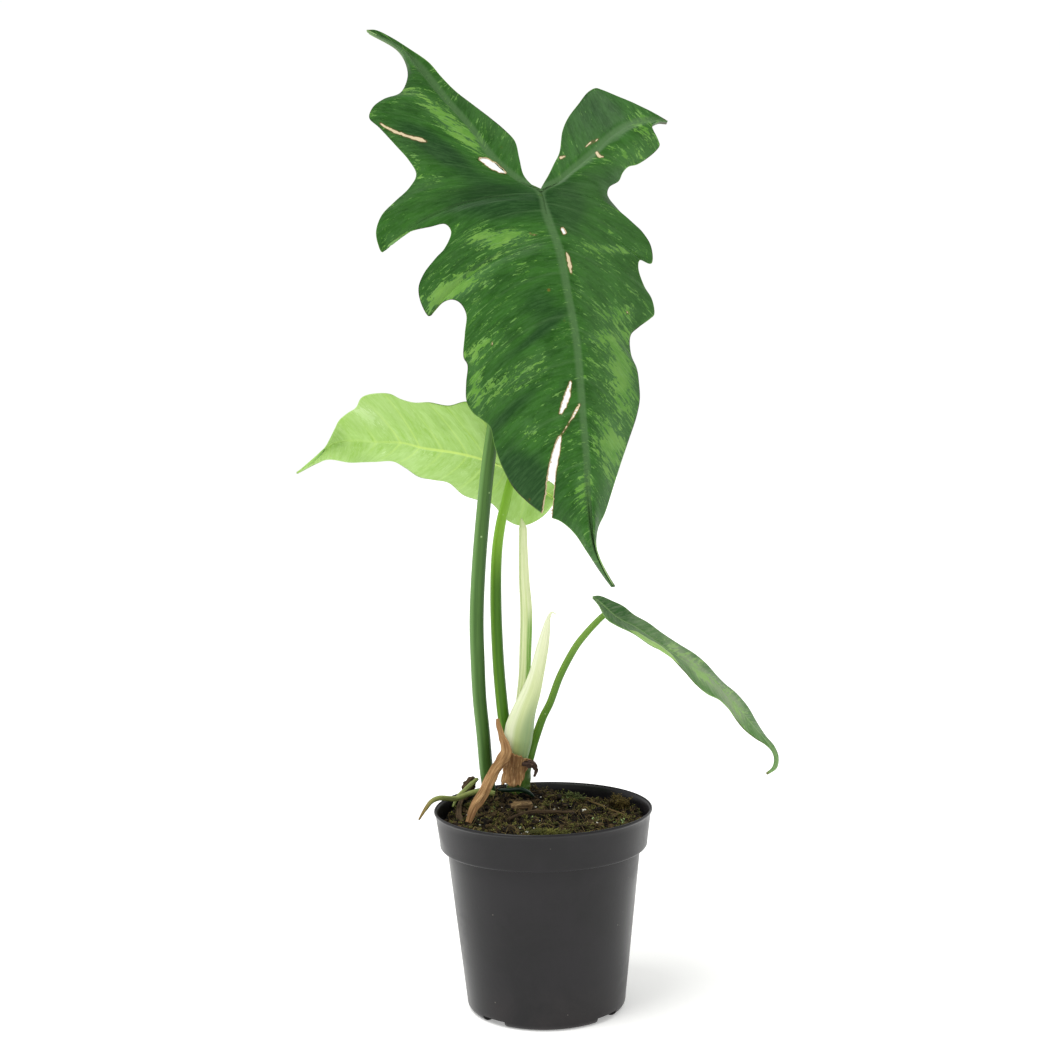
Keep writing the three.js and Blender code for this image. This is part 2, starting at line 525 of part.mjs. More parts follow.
const oldStubSpec = [
  [onSoil(-24.5, 16, 7), onSoil(-15, 14.6, 5), onSoil(-5.5, 15.2, 3.8)],
  [2, 2.4, 2.2],
  { facing: new THREE.Vector3(0, 0, 1) },
];
const deadStripSpec = [
  [onSoil(-45, 24, 6.5), onSoil(-47, 12, 3), onSoil(-46, 3, 1.6), onSoil(-44, -4, 1.2)],
  [1, 1.6, 1.6, 0.7],
  { sides: 8, flat: 0.45, facing: new THREE.Vector3(0, 0, 1) },
];
const deadRootSpec = [
  [onSoil(-20, -4, 1), onSoil(-8, 2, 1.6), onSoil(4, 3, 1.4), onSoil(18, 6, 1)],
  [0.9, 1.2, 1.1, 0.7],
  { sides: 8, facing: new THREE.Vector3(0, 0, 1) },
];
const twigSpec = [
  [onSoil(24, 38, 1.4), onSoil(32, 26, 2.4), onSoil(39, 14, 1.8), onSoil(46, 7, 1)],
  [0.7, 0.8, 0.7, 0.5],
  { sides: 8, facing: new THREE.Vector3(0, 0, 1) },
];
const leafScrapSpec = [
  [onSoil(-38.5, 33.5, 14), onSoil(-40.5, 32.5, 12), onSoil(-43, 31, 8.5), onSoil(-45, 29, 4)],
  [0.8, 2.6, 3, 1.5],
  { sides: 8, flat: 0.3 },
];

// A rough lump that lies on the mix: a faceted ball stretched to its three half sizes.
function lump(x, y, [halfX, halfY, halfZ], grow = 0) {
  const ball = new THREE.IcosahedronGeometry(1, 1);
  const place = ball.attributes.position;
  for (let i = 0; i < place.count; i++) {
    const [u, v, w] = [place.getX(i), place.getY(i), place.getZ(i)];
    const rough = 1 + 0.14 * Math.sin(5 * u + 3 * v) * Math.cos(4 * w + x);
    place.setXYZ(i, u * rough * (halfX + grow), v * rough * (halfY + grow), w * rough * (halfZ + grow));
  }
  const at = onSoil(x, y, halfZ * 0.35);
  return solid(ball.translate(at.x, at.y, at.z));
}

const LUMPS = [
  ["bark_chip", -12, 8.5, [7, 3.8, 2.5], BARK],
  ["moss_clump_right", 43, 22, [6, 5, 6.5], MOSS],
  ["moss_clump_back", 18, 36, [6, 4.5, 3.6], MOSS],
  ["moss_clump_left", -40, 18, [3.5, 4, 3], MOSS],
  ["moss_clump_front", 2, -34, [11, 6, 3], MOSS],
  ["perlite_grain_front", 21, -40, [2.4, 2, 1.8], PERLITE],
  ["perlite_grain_middle", 23, 14, [2, 2, 1.6], PERLITE],
  ["perlite_grain_left", -9, -26, [1.6, 1.8, 1.4], PERLITE],
];

// ---------------------------------------------------------------- assembly
const plant = new THREE.Group();

function add(name, shape, material) {
  const mesh = new THREE.Mesh(geometryOf(shape), material);
  mesh.name = name;
  plant.add(mesh);
}

// The same limb made fatter by the clearance, which is what its neighbours are cut with.
const room = ([route, radii, options = {}]) => limb(route, radii, { ...options, grow: GAP });

// A limb whose foot is trimmed flat, just clear of the stem's top.
function onStem(spec) {
  const below = new THREE.BoxGeometry(60, 60, 40);
  below.translate(STEM_X, STEM_Y, STEM_TOP + GAP - 20);
  return limb(...spec).subtract(solid(below));
}

const stem = limb(...stemSpec);
const stemRoom = room(stemSpec);
const large = largeBlade();
const pale = paleBlade();
const drooping = droopingBlade();

add("nursery_pot", nurseryPot(), BLACK_PLASTIC);
add("main_stem", stem, GREEN_STALK);
add("blade_large_leaf", large.leaf, DARK_LEAF);
add("blade_pale_leaf", pale.leaf, PALE_LEAF);
add("blade_drooping_leaf", drooping.leaf, YOUNG_LEAF);
add("petiole_large_leaf", limb(...largeStalkSpec).subtract(large.trim).subtract(stemRoom), GREEN_STALK);
add("petiole_pale_leaf", onStem(paleStalkSpec).subtract(pale.trim), BRIGHT_STALK);
add("petiole_drooping_leaf", onStem(droopingStalkSpec).subtract(drooping.trim), BRIGHT_STALK);
add("pale_cataphyll", onStem(cataphyllSpec), CREAM_SHEATH);
add("new_shoot_sheath", onStem(shootSpec), WHITE_SHEATH);
add("dried_sheath_collar", driedCollar(), DRY_SHEATH);
add("dried_sheath_strip", limb(...dryStripSpec), DRY_SHEATH);
add("dried_sheath_stub", limb(...dryStubSpec), DRY_SHEATH);

// What lies on or in the mix, in the order that it is laid: each piece is cut clear of those before it.
const LITTER = [
  ["aerial_root_long", longRootSpec, LIVE_ROOT],
  ["aerial_root_short", shortRootSpec, LIVE_ROOT],
  ["old_petiole_stub", oldStubSpec, GREEN_STALK],
  ["dead_root_left", deadStripSpec, DEAD_SCRAP],
  ["dead_root_front", deadRootSpec, DEAD_SCRAP],
  ["thin_twig", twigSpec, BARK],
  ["dried_leaf_scrap", leafScrapSpec, DEAD_SCRAP],
];

let mix = pottingMix();
for (const spec of [stemSpec, largeStalkSpec, dryStripSpec]) mix = mix.subtract(room(spec));

const laid = [];
function lay(name, shape, shapeRoom, material) {
  add(name, laid.reduce((left, earlier) => left.subtract(earlier), shape), material);
  laid.push(shapeRoom);
  mix = mix.subtract(shapeRoom);
}
for (const [name, spec, material] of LITTER) lay(name, limb(...spec), room(spec), material);
for (const [name, x, y, halves, material] of LUMPS) {
  lay(name, lump(x, y, halves), lump(x, y, halves, GAP), material);
}
add("potting_mix", mix, POTTING_MIX);

export default plant;
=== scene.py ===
# A variegated philodendron in a black nursery pot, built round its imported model.
# Shapes are worked out in millimetres and turned to metres when a piece is finished.
import math
import random

import bmesh
import bpy
from mathutils import Matrix, Vector, noise


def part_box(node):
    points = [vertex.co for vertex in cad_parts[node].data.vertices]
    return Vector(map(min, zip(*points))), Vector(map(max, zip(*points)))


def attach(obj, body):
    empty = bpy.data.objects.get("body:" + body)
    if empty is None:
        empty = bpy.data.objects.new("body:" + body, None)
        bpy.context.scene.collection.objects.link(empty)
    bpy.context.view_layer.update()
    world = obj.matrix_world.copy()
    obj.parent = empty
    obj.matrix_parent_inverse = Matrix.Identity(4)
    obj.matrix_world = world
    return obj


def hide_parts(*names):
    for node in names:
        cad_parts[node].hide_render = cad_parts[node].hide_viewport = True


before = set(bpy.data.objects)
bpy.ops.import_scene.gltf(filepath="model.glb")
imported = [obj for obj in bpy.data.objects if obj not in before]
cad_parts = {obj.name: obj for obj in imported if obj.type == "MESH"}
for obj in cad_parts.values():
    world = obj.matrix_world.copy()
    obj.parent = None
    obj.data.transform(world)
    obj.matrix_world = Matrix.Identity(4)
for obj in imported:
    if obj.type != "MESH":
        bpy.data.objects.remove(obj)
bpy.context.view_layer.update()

bl_info = {
    "name": "Potted philodendron",
    "version": (1, 0, 0),
    "blender": (4, 5, 0),
    "location": "3D View > Sidebar > Plant",
    "description": "Builds a potted philodendron, its potting mix and a small studio",
    "category": "Add Mesh",
}

METRE = 0.001
BODY = "root"
TURN = 2 * math.pi
FRONT = Vector((0, -1, 0))
UP = Vector((0, 0, 1))


def spread(reach, angle):
    """The place at a distance and an angle from the pot's axis."""
    return reach * math.cos(angle), reach * math.sin(angle)


def node_box(node):
    """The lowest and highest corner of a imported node, in millimetres."""
    low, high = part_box(node)
    return low / METRE, high / METRE


# ------------------------------------------------------------------ places taken from the frame
_, POT_HIGH = node_box("nursery_pot")
STEM_LOW, STEM_HIGH = node_box("main_stem")
POT_HEIGHT = POT_HIGH.z
RIM_RADIUS = POT_HIGH.x
SOIL_DROP = 8.0
SOIL_LEVEL = POT_HEIGHT - SOIL_DROP
STEM_X = (STEM_LOW.x + STEM_HIGH.x) / 2
STEM_Y = (STEM_LOW.y + STEM_HIGH.y) / 2
STEM_TOP = STEM_HIGH.z - SOIL_LEVEL
PLANT_X, PLANT_Y = -13.5, 27.0
MOUND_HEIGHT = 11.5
MOUND_RADIUS = 24.0


def above(x, y, rise):
    """A point of the plant: its place in the pot and its height above the level mix."""
    return Vector((x - PLANT_X + STEM_X, y - PLANT_Y + STEM_Y, SOIL_LEVEL + rise))


def rising(*points):
    return [above(*point) for point in points]


def soil_rise(x, y):
    """How far the mix stands above its level at a place in the pot."""
    to_stem = math.hypot(x - STEM_X, y - STEM_Y)
    mound = MOUND_HEIGHT * math.exp(-(to_stem / MOUND_RADIUS) ** 2)
    lumps = 0.7 * math.sin(x * 0.31 + 1.3) * math.sin(y * 0.27) + 0.5 * math.sin(x * 0.16 - y * 0.22)
    return mound + lumps


def on_soil(*points):
    """Points given by their place in the pot and their height above the mounded mix."""
    return [Vector((x, y, SOIL_LEVEL + soil_rise(x, y) + rise)) for x, y, rise in points]


# ------------------------------------------------------------------ node helpers
def colour(code):
    """A scene-linear colour from a hex code."""
    def linear(part):
        return part / 12.92 if part <= 0.04045 else ((part + 0.055) / 1.055) ** 2.4
    return tuple(linear(int(code[i:i + 2], 16) / 255) for i in (0, 2, 4)) + (1.0,)


class Nodes:
    """Adds nodes to one tree and joins them."""

    def __init__(self, tree):
        self.tree = tree

    def add(self, kind, inputs=None, **settings):
        made = self.tree.nodes.new("ShaderNode" + kind)
        for key, value in settings.items():
            setattr(made, key, value)
        for key, value in (inputs or {}).items():
            self.feed(made.inputs[key], value)
        return made

    def feed(self, socket, value):
        """Links another node's output to a socket, or sets the socket to a value or a colour's hex code."""
        if isinstance(value, str):
            value = colour(value)
        if isinstance(value, bpy.types.NodeSocket):
            self.tree.links.new(value, socket)
        else:
            socket.default_value = value

    def maths(self, operation, a, b=0.0):
        return self.add("Math", {0: a, 1: b}, operation=operation).outputs[0]

    def times(self, a, b):
        return self.maths("MULTIPLY", a, b)

    def plus(self, a, b):
        return self.maths("ADD", a, b)

    def minus(self, a, b):
        return self.maths("SUBTRACT", a, b)

    def part(self, vector, axis):
        return self.add("SeparateXYZ", {0: vector}).outputs[axis]

    def ramp(self, value, low, high, to_low=0.0, to_high=1.0):
        """A value mapped smoothly from low..high to to_low..to_high."""
        made = self.add("MapRange", {"Value": value}, interpolation_type="SMOOTHSTEP")
        made.inputs["From Min"].default_value = low
        made.inputs["From Max"].default_value = high
        made.inputs["To Min"].default_value = to_low
        made.inputs["To Max"].default_value = to_high
        return made.outputs["Result"]

    def blend(self, share, a, b):
        """Colour a with a share of colour b over it."""
        made = self.add("Mix", data_type="RGBA")
        self.feed(made.inputs[0], share)
        self.feed(made.inputs[6], a)
        self.feed(made.inputs[7], b)
        return made.outputs[2]

    def noise(self, place, scale, detail=4.0, roughness=0.55, distortion=0.0):
        made = self.add("TexNoise", {"Vector": place, "Detail": detail, "Roughness": roughness})
        self.feed(made.inputs["Scale"], scale)
        made.inputs["Distortion"].default_value = distortion
        return made.outputs["Fac"]

    def stretch(self, place, factors, shift=(0, 0, 0)):
        made = self.add("Mapping", {"Vector": place, "Location": shift})
        self.feed(made.inputs["Scale"], factors)
        return made.outputs["Vector"]

    def attribute(self, name):
        return self.add("Attribute", attribute_name=name).outputs["Fac"]

    def group(self, name, inputs):
        made = self.add("Group")
        made.node_tree = bpy.data.node_groups[name]
        for key, value in inputs.items():
            self.feed(made.inputs[key], value)
        return made.outputs


def new_group(name, inputs, outputs):
    """An empty node group with named sockets, and its input and output nodes."""
    tree = bpy.data.node_groups.new(name, "ShaderNodeTree")
    for label, kind, default in inputs:
        socket = tree.interface.new_socket(label, in_out="INPUT", socket_type=kind)
        if default is not None:
            socket.default_value = default
    for label, kind in outputs:
        tree.interface.new_socket(label, in_out="OUTPUT", socket_type=kind)
    enter = tree.nodes.new("NodeGroupInput")
    leave = tree.nodes.new("NodeGroupOutput")
    return Nodes(tree), enter.outputs, leave.inputs


FLOAT, VECTOR = "NodeSocketFloat", "NodeSocketVector"


def marbling_group():
    """Ragged light patches and thin lacing along the veins; Amount is how much of the blade they cover."""
    n, given, out = new_group(
        "leaf_marbling",
        [("Vector", VECTOR, None), ("Scale", FLOAT, 16.0), ("Amount", FLOAT, 0.3), ("Shift", FLOAT, 0.0)],
        [("Patches", FLOAT), ("Flecks", FLOAT), ("Mottle", FLOAT), ("Tones", FLOAT)],
    )
    shift = n.add("CombineXYZ", {"X": given["Shift"], "Y": given["Shift"]}).outputs[0]
    moved = n.add("VectorMath", {0: given["Vector"], 1: shift}, operation="ADD").outputs[0]
    broad = n.noise(n.stretch(moved, (1.0, 0.6, 1.0)), 7.0, 2.0, 0.5)
    fine = n.noise(n.stretch(moved, (1.0, 0.24, 1.0)), given["Scale"], 9.0, 0.66, 0.2)
    grit = n.noise(n.stretch(moved, (1.0, 0.4, 1.0), (5, 5, 0)), 62.0, 4.0, 0.62)
    mixed = n.plus(n.times(fine, 0.55), n.times(broad, 0.26))
    mixed = n.plus(mixed, n.times(grit, 0.3))
    limit = n.minus(0.748, n.times(given["Amount"], 0.35))
    over = n.minus(mixed, limit)
    line = n.noise(n.stretch(moved, (1.0, 0.42, 1.0), (9, 4, 0)), 24.0, 6.0, 0.6, 0.3)
    line = n.maths("ABSOLUTE", n.minus(line, 0.5))
    lace = n.times(n.ramp(line, 0.003, 0.012, 1.0, 0.0), n.ramp(over, -0.1, -0.02))
    n.feed(out["Patches"], n.maths("MAXIMUM", n.ramp(over, -0.003, 0.006), n.times(lace, 0.8)))
    flecks = n.noise(n.stretch(moved, (2.5, 0.3, 1.0), (3, 1, 0)), 36.0, 4.0, 0.7, 0.2)
    near = n.ramp(over, -0.2, 0.0)
    fleck_limit = n.minus(0.715, n.times(near, 0.15))
    n.feed(out["Flecks"], n.ramp(n.minus(flecks, fleck_limit), -0.01, 0.015))
    mottle = n.noise(n.stretch(moved, (2.6, 0.4, 1.0), (7, 2, 0)), 26.0, 7.0, 0.72, 0.15)
    n.feed(out["Mottle"], n.ramp(mottle, 0.4, 0.66))
    tones = n.noise(n.stretch(moved, (1.2, 0.36, 1.0), (2, 8, 0)), 13.0, 8.0, 0.64, 0.1)
    steps = n.plus(n.ramp(tones, 0.42, 0.46, 0.0, 0.5), n.ramp(tones, 0.53, 0.57, 0.0, 0.5))
    n.feed(out["Tones"], steps)


def streak_group():
    """Long soft streaks along a stalk or sheath; V of the map runs along it."""
    n, given, out = new_group(
        "long_streaks",
        [("Vector", VECTOR, None), ("Across", FLOAT, 14.0), ("Along", FLOAT, 1.5)],
        [("Streaks", FLOAT), ("Height", FLOAT)],
    )
    factors = n.add("CombineXYZ", {"X": given["Across"], "Y": given["Along"], "Z": 1.0}).outputs[0]
    drawn = n.add("VectorMath", {0: given["Vector"], 1: factors}, operation="MULTIPLY").outputs[0]
    coarse = n.noise(drawn, 1.0, 3.0, 0.6, 0.2)
    fine = n.noise(drawn, 4.0, 4.0, 0.7, 0.1)
    n.feed(out["Streaks"], n.ramp(n.plus(n.times(coarse, 0.6), n.times(fine, 0.4)), 0.35, 0.65))
    n.feed(out["Height"], fine)


def speck_group():
    """Small scattered specks; Amount is the share of the surface that they take."""
    n, given, out = new_group(
        "specks",
        [("Vector", VECTOR, None), ("Scale", FLOAT, 300.0), ("Amount", FLOAT, 0.1)],
        [("Specks", FLOAT)],
    )
    cells = n.add("TexVoronoi", {"Vector": given["Vector"], "Scale": given["Scale"]})
    pick = n.add("SeparateColor", {0: cells.outputs["Color"]}).outputs[0]
    chosen = n.ramp(n.minus(pick, n.minus(1.0, given["Amount"])), 0.0, 0.01)
    dot = n.ramp(cells.outputs["Distance"], 0.1, 0.34, 1.0, 0.0)
    n.feed(out["Specks"], n.times(chosen, dot))


def grime_group():
    """Cloudy uneven soiling, and a fine grain for the bump."""
    n, given, out = new_group(
        "grime",
        [("Vector", VECTOR, None), ("Scale", FLOAT, 30.0)],
        [("Cloud", FLOAT), ("Grain", FLOAT)],
    )
    n.feed(out["Cloud"], n.ramp(n.noise(given["Vector"], given["Scale"], 6.0, 0.65, 0.4), 0.35, 0.7))
    n.feed(out["Grain"], n.noise(given["Vector"], n.times(given["Scale"], 22.0), 3.0, 0.6))


def new_material(name, roughness, specular=0.5):
    """A material with its node helper, its shader, Object coordinates and the piece's own map."""
    made = bpy.data.materials.new(name)
    made.use_nodes = True
    shader = made.node_tree.nodes["Principled BSDF"]
    shader.inputs["Roughness"].default_value = roughness
    shader.inputs["Specular IOR Level"].default_value = specular
    n = Nodes(made.node_tree)
    coords = n.add("TexCoord").outputs
    return made, n, shader, coords["Object"], coords["UV"]


def bump(n, shader, height, strength, distance=0.0005):
    made = n.add("Bump", {"Height": height, "Strength": strength, "Distance": distance})
    n.feed(shader.inputs["Normal"], made.outputs["Normal"])


# ------------------------------------------------------------------ materials
def pot_material():
    """Black moulded plastic, scuffed and dusty."""
    made, n, shader, place, _ = new_material("nursery_plastic", 0.34, 0.3)
    grime = n.group("grime", {"Vector": place, "Scale": 26.0})
    dust = n.group("specks", {"Vector": place, "Scale": 650.0, "Amount": 0.006})
    base = n.blend(grime["Cloud"], "151416", "1e1c1f")
    low = n.ramp(n.part(place, "Z"), 0.0, 0.03, 0.3, 0.0)
    base = n.blend(n.times(low, grime["Cloud"]), base, "332c28")
    n.feed(shader.inputs["Base Color"], n.blend(dust["Specks"], base, "857f76"))
    n.feed(shader.inputs["Roughness"], n.ramp(grime["Cloud"], 0.0, 1.0, 0.28, 0.4))
    bump(n, shader, grime["Grain"], 0.12, 0.0002)
    return made


def leaf_material(name, ground_tones, patch_tones, fleck, rib_tone, margin_tone, amount, scale, shift=0.0,
                  sheen=0.45, rib_width=2.6, rib_share=0.8, rib_fade=None, vein_share=0.25, right_tone=None):
    """A leaf face: a ground of four greens from dark to light, marbled patches of two light greens along
    the veins, its rib and a thin margin, partly dark and partly pale."""
    made, n, shader, place, veins = new_material(name, sheen, 0.15)
    marbling_and_light = n.attribute("marbling_and_painted_light")
    marble = n.group("leaf_marbling", {
        "Vector": veins, "Scale": scale, "Amount": n.plus(amount, marbling_and_light), "Shift": shift})
    deep, dark, mid, pale = ground_tones.split()
    patch = patch_tones.split()
    cloud = n.noise(place, 22.0, 3.0, 0.6)
    ground = n.blend(marble["Tones"], dark, mid)
    # Painted shade: where the spots are negative the ground turns to its deepest green, as in the shadow band
    # on the large leaf's upper-left lobe.
    ground = n.blend(n.ramp(marbling_and_light, -0.4, -0.05, 0.85, 0.0), ground, deep)
    # Where the spots are positive the ground turns paler; on the drooping leaf this is a painted sheen.
    ground = n.blend(n.ramp(marbling_and_light, 0.05, 0.45, 0.0, 0.6), ground, pale)
    ground = n.blend(n.times(marble["Mottle"], 0.32), ground, pale)
    lights = n.blend(n.ramp(n.noise(place, 60.0, 3.0, 0.6), 0.35, 0.7), patch[0], patch[1])
    lights = n.blend(n.times(marble["Mottle"], 0.3), lights, pale)
    face = n.blend(n.times(marble["Patches"], 0.92), ground, lights)
    face = n.blend(n.times(marble["Flecks"], 0.7), face, fleck)
    if right_tone:
        across = n.part(veins, "Y")
        face = n.blend(n.ramp(across, -0.15, 0.0, 0.18, 0.0), face, right_tone)
    rib = n.ramp(n.attribute("rib_mm"), rib_width * 0.4, rib_width, rib_share, 0.0)
    if rib_fade:
        along = n.part(veins, "X")
        rib = n.times(rib, n.ramp(along, rib_fade[0], rib_fade[1], 1.0, 0.15))
    face = n.blend(rib, face, rib_tone)
    face = n.blend(n.times(n.attribute("vein"), vein_share), face, rib_tone)
    rust = n.group("specks", {"Vector": place, "Scale": 260.0, "Amount": 0.006})
    face = n.blend(n.times(rust["Specks"], 0.7), face, "a8702c")
    edge = n.ramp(n.attribute("edge_mm"), 0.1, 0.5, 0.7, 0.0)
    edge_tone = n.blend(n.ramp(n.noise(place, 26.0, 2.0), 0.45, 0.55), margin_tone, patch[1])
    face = n.blend(edge, face, edge_tone)
    scar = n.attribute("scar_mm")
    face = n.blend(n.ramp(scar, 0.25, 0.9, 0.55, 0.0), face, "6b4a2a")
    face = n.blend(n.ramp(scar, 0.1, 0.35, 1.0, 0.0), face, "d9c6a2")
    n.feed(shader.inputs["Base Color"], face)
    n.feed(shader.inputs["Roughness"], n.ramp(cloud, 0.3, 0.7, sheen - 0.04, sheen + 0.08))
    fine = n.noise(n.stretch(veins, (9.0, 1.5, 1.0)), 9.0, 5.0, 0.6)
    bump(n, shader, fine, 0.3, 0.0005)
    return made


def stalk_material(name, light, mid, dark, speck_tone, shift=0.0, brighter_above=None):
    """A smooth stalk with a painted highlight down its left side and painted shade down its right, with fine
    streaks and specks.
    """
    made, n, shader, place, along = new_material(name, 0.4, 0.25)
    streaks = n.group("long_streaks", {"Vector": along, "Across": 16.0, "Along": 1.2})
    specks = n.group("specks", {"Vector": place, "Scale": 420.0, "Amount": 0.02})
    around = n.part(along, "X")
    # Painted light: left is a band painted paler as if lit from the left, right a band painted darker as if
    # in shade.
    left = n.times(n.ramp(around, 0.53, 0.61), n.ramp(around, 0.8, 0.95, 1.0, 0.0))
    right = n.times(n.ramp(around, 0.05, 0.2), n.ramp(around, 0.37, 0.47, 1.0, 0.0))
    base = n.blend(n.times(streaks["Streaks"], 0.5), mid, dark)
    base = n.blend(n.times(right, 0.65), base, dark)
    base = n.blend(n.times(left, 0.7), base, light)
    cloud = n.ramp(n.noise(n.stretch(place, (1.0, 1.0, 0.3), (shift, 0, 0)), 30.0, 3.0), 0.45, 0.75, 0.0, 0.4)
    base = n.blend(cloud, base, light)
    if brighter_above:
        height = n.part(place, "Z")
        rise = n.ramp(height, brighter_above * METRE, (brighter_above + 40) * METRE, 0.0, 0.7)
        base = n.blend(rise, base, "93c63c")
    n.feed(shader.inputs["Base Color"], n.blend(specks["Specks"], base, speck_tone))
    bump(n, shader, streaks["Height"], 0.2, 0.0003)
    return made


def root_material():
    """A live root: olive green, browner towards its tip beyond the rim."""
    made, n, shader, place, along = new_material("root_skin", 0.55, 0.3)
    streaks = n.group("long_streaks", {"Vector": along, "Across": 10.0, "Along": 6.0})
    base = n.blend(streaks["Streaks"], "66743a", "98a25c")
    outwards = n.times(n.part(place, "X"), -1.0)
    tip = n.ramp(outwards, (RIM_RADIUS - 3) * METRE, (RIM_RADIUS + 7) * METRE)
    base = n.blend(tip, base, n.blend(streaks["Streaks"], "5e4c28", "9a8448"))
    n.feed(shader.inputs["Base Color"], base)
    bump(n, shader, streaks["Height"], 0.5, 0.0004)
    return made


def cataphyll_material():
    """Cream sheath with a green panel low on its right side."""
    made, n, shader, place, along = new_material("cataphyll_skin", 0.42)
    streaks = n.group("long_streaks", {"Vector": along, "Across": 12.0, "Along": 0.7})
    parts = n.add("SeparateXYZ", {0: along}).outputs
    height = n.part(place, "Z")
    base = n.blend(streaks["Streaks"], "c3d488", "e6edbe")
    right = n.minus(1.0, n.ramp(parts["X"], 0.44, 0.5))
    panel = n.times(right, n.ramp(height, (SOIL_LEVEL + 102) * METRE, (SOIL_LEVEL + 118) * METRE, 1.0, 0.0))
    panel = n.times(panel, n.ramp(n.noise(n.stretch(along, (14, 0.8, 1)), 1.0, 4.0, 0.7), 0.34, 0.5))
    base = n.blend(panel, base, "7fae4a")
    thin = n.times(n.ramp(n.noise(n.stretch(along, (20, 0.6, 1), (2, 2, 0)), 1.0, 3.0), 0.55, 0.62), 0.5)
    n.feed(shader.inputs["Base Color"], n.blend(thin, base, "a9cc6c"))
    bump(n, shader, streaks["Height"], 0.3, 0.0004)
    return made


def shoot_material():
    """The new shoot: green at its foot, nearly white above, with fine ribs and a painted highlight down its
    left side.
    """
    made, n, shader, place, along = new_material("shoot_skin", 0.42)
    streaks = n.group("long_streaks", {"Vector": along, "Across": 22.0, "Along": 0.8})
    height = n.part(place, "Z")
    rise = n.ramp(height, STEM_HIGH.z * METRE, (STEM_HIGH.z + 34) * METRE)
    base = n.blend(rise, "a6ba74", "dde8ac")
    base = n.blend(n.ramp(height, (STEM_HIGH.z + 30) * METRE, (STEM_HIGH.z + 75) * METRE), base, "f4f7d2")
    around = n.part(along, "X")
    foot = n.ramp(height, (STEM_HIGH.z + 12) * METRE, (STEM_HIGH.z + 44) * METRE, 0.85, 0.0)
    right = n.times(n.ramp(around, 0.1, 0.25), n.ramp(around, 0.4, 0.52, 1.0, 0.0))
    base = n.blend(n.times(right, foot), base, "86a878")
    # Painted highlight: a cream band down the left side, as if lit from the left.
    left = n.times(n.ramp(around, 0.52, 0.6), n.ramp(around, 0.8, 0.9, 1.0, 0.0))
    base = n.blend(n.times(left, 0.75), base, "eef2d4")
    n.feed(shader.inputs["Base Color"], n.blend(n.times(streaks["Streaks"], 0.4), base, "bccd86"))
    bump(n, shader, streaks["Height"], 0.35, 0.0004)
    return made


def fibre_material(name, pale, mid, dark, across=18.0, roughness=0.75, relief=0.8):
    """Dry fibrous skin: sheath, bark, dead scraps."""
    made, n, shader, place, along = new_material(name, roughness, 0.25)
    streaks = n.group("long_streaks", {"Vector": along, "Across": across, "Along": 2.2})
    grime = n.group("grime", {"Vector": place, "Scale": 90.0})
    base = n.blend(streaks["Streaks"], dark, mid)
    base = n.blend(n.ramp(streaks["Height"], 0.5, 0.75), base, pale)
    base = n.blend(n.times(grime["Cloud"], 0.35), base, dark)
    n.feed(shader.inputs["Base Color"], base)
    bump(n, shader, n.plus(streaks["Height"], n.times(grime["Grain"], 0.3)), relief, 0.0006)
    return made


def mix_material(name, tones, pale_amount=0.02):
    """Peaty stuff from dark to light by the tone of each bit, with a few pale specks."""
    made, n, shader, place, _ = new_material(name, 0.92, 0.2)
    grime = n.group("grime", {"Vector": place, "Scale": 110.0})
    dark, mid, light, speck = tones.split()
    tone = n.plus(n.attribute("tone"), n.times(n.noise(place, 60.0, 4.0, 0.6), 0.5))
    base = n.blend(n.ramp(tone, 0.15, 0.6), dark, mid)
    base = n.blend(n.ramp(tone, 0.65, 1.15), base, light)
    base = n.blend(n.times(grime["Cloud"], 0.45), base, dark)
    pale = n.group("specks", {"Vector": place, "Scale": 520.0, "Amount": pale_amount})
    n.feed(shader.inputs["Base Color"], n.blend(pale["Specks"], base, speck))
    bump(n, shader, grime["Grain"], 0.9, 0.0008)
    return made


def moss_material(name, dark, light):
    made, n, shader, place, _ = new_material(name, 0.85, 0.25)
    grime = n.group("grime", {"Vector": place, "Scale": 200.0})
    tone = n.ramp(n.noise(place, 90.0, 3.0), 0.3, 0.7)
    base = n.blend(tone, dark, light)
    n.feed(shader.inputs["Base Color"], n.blend(n.times(grime["Cloud"], 0.4), base, dark))
    bump(n, shader, grime["Grain"], 0.5, 0.0003)
    return made


def perlite_material():
    made, n, shader, place, _ = new_material("perlite_grain", 0.9, 0.3)
    grime = n.group("grime", {"Vector": place, "Scale": 260.0})
    n.feed(shader.inputs["Base Color"], n.blend(grime["Cloud"], "efeee6", "b9b19c"))
    bump(n, shader, grime["Grain"], 0.8, 0.0004)
    return made


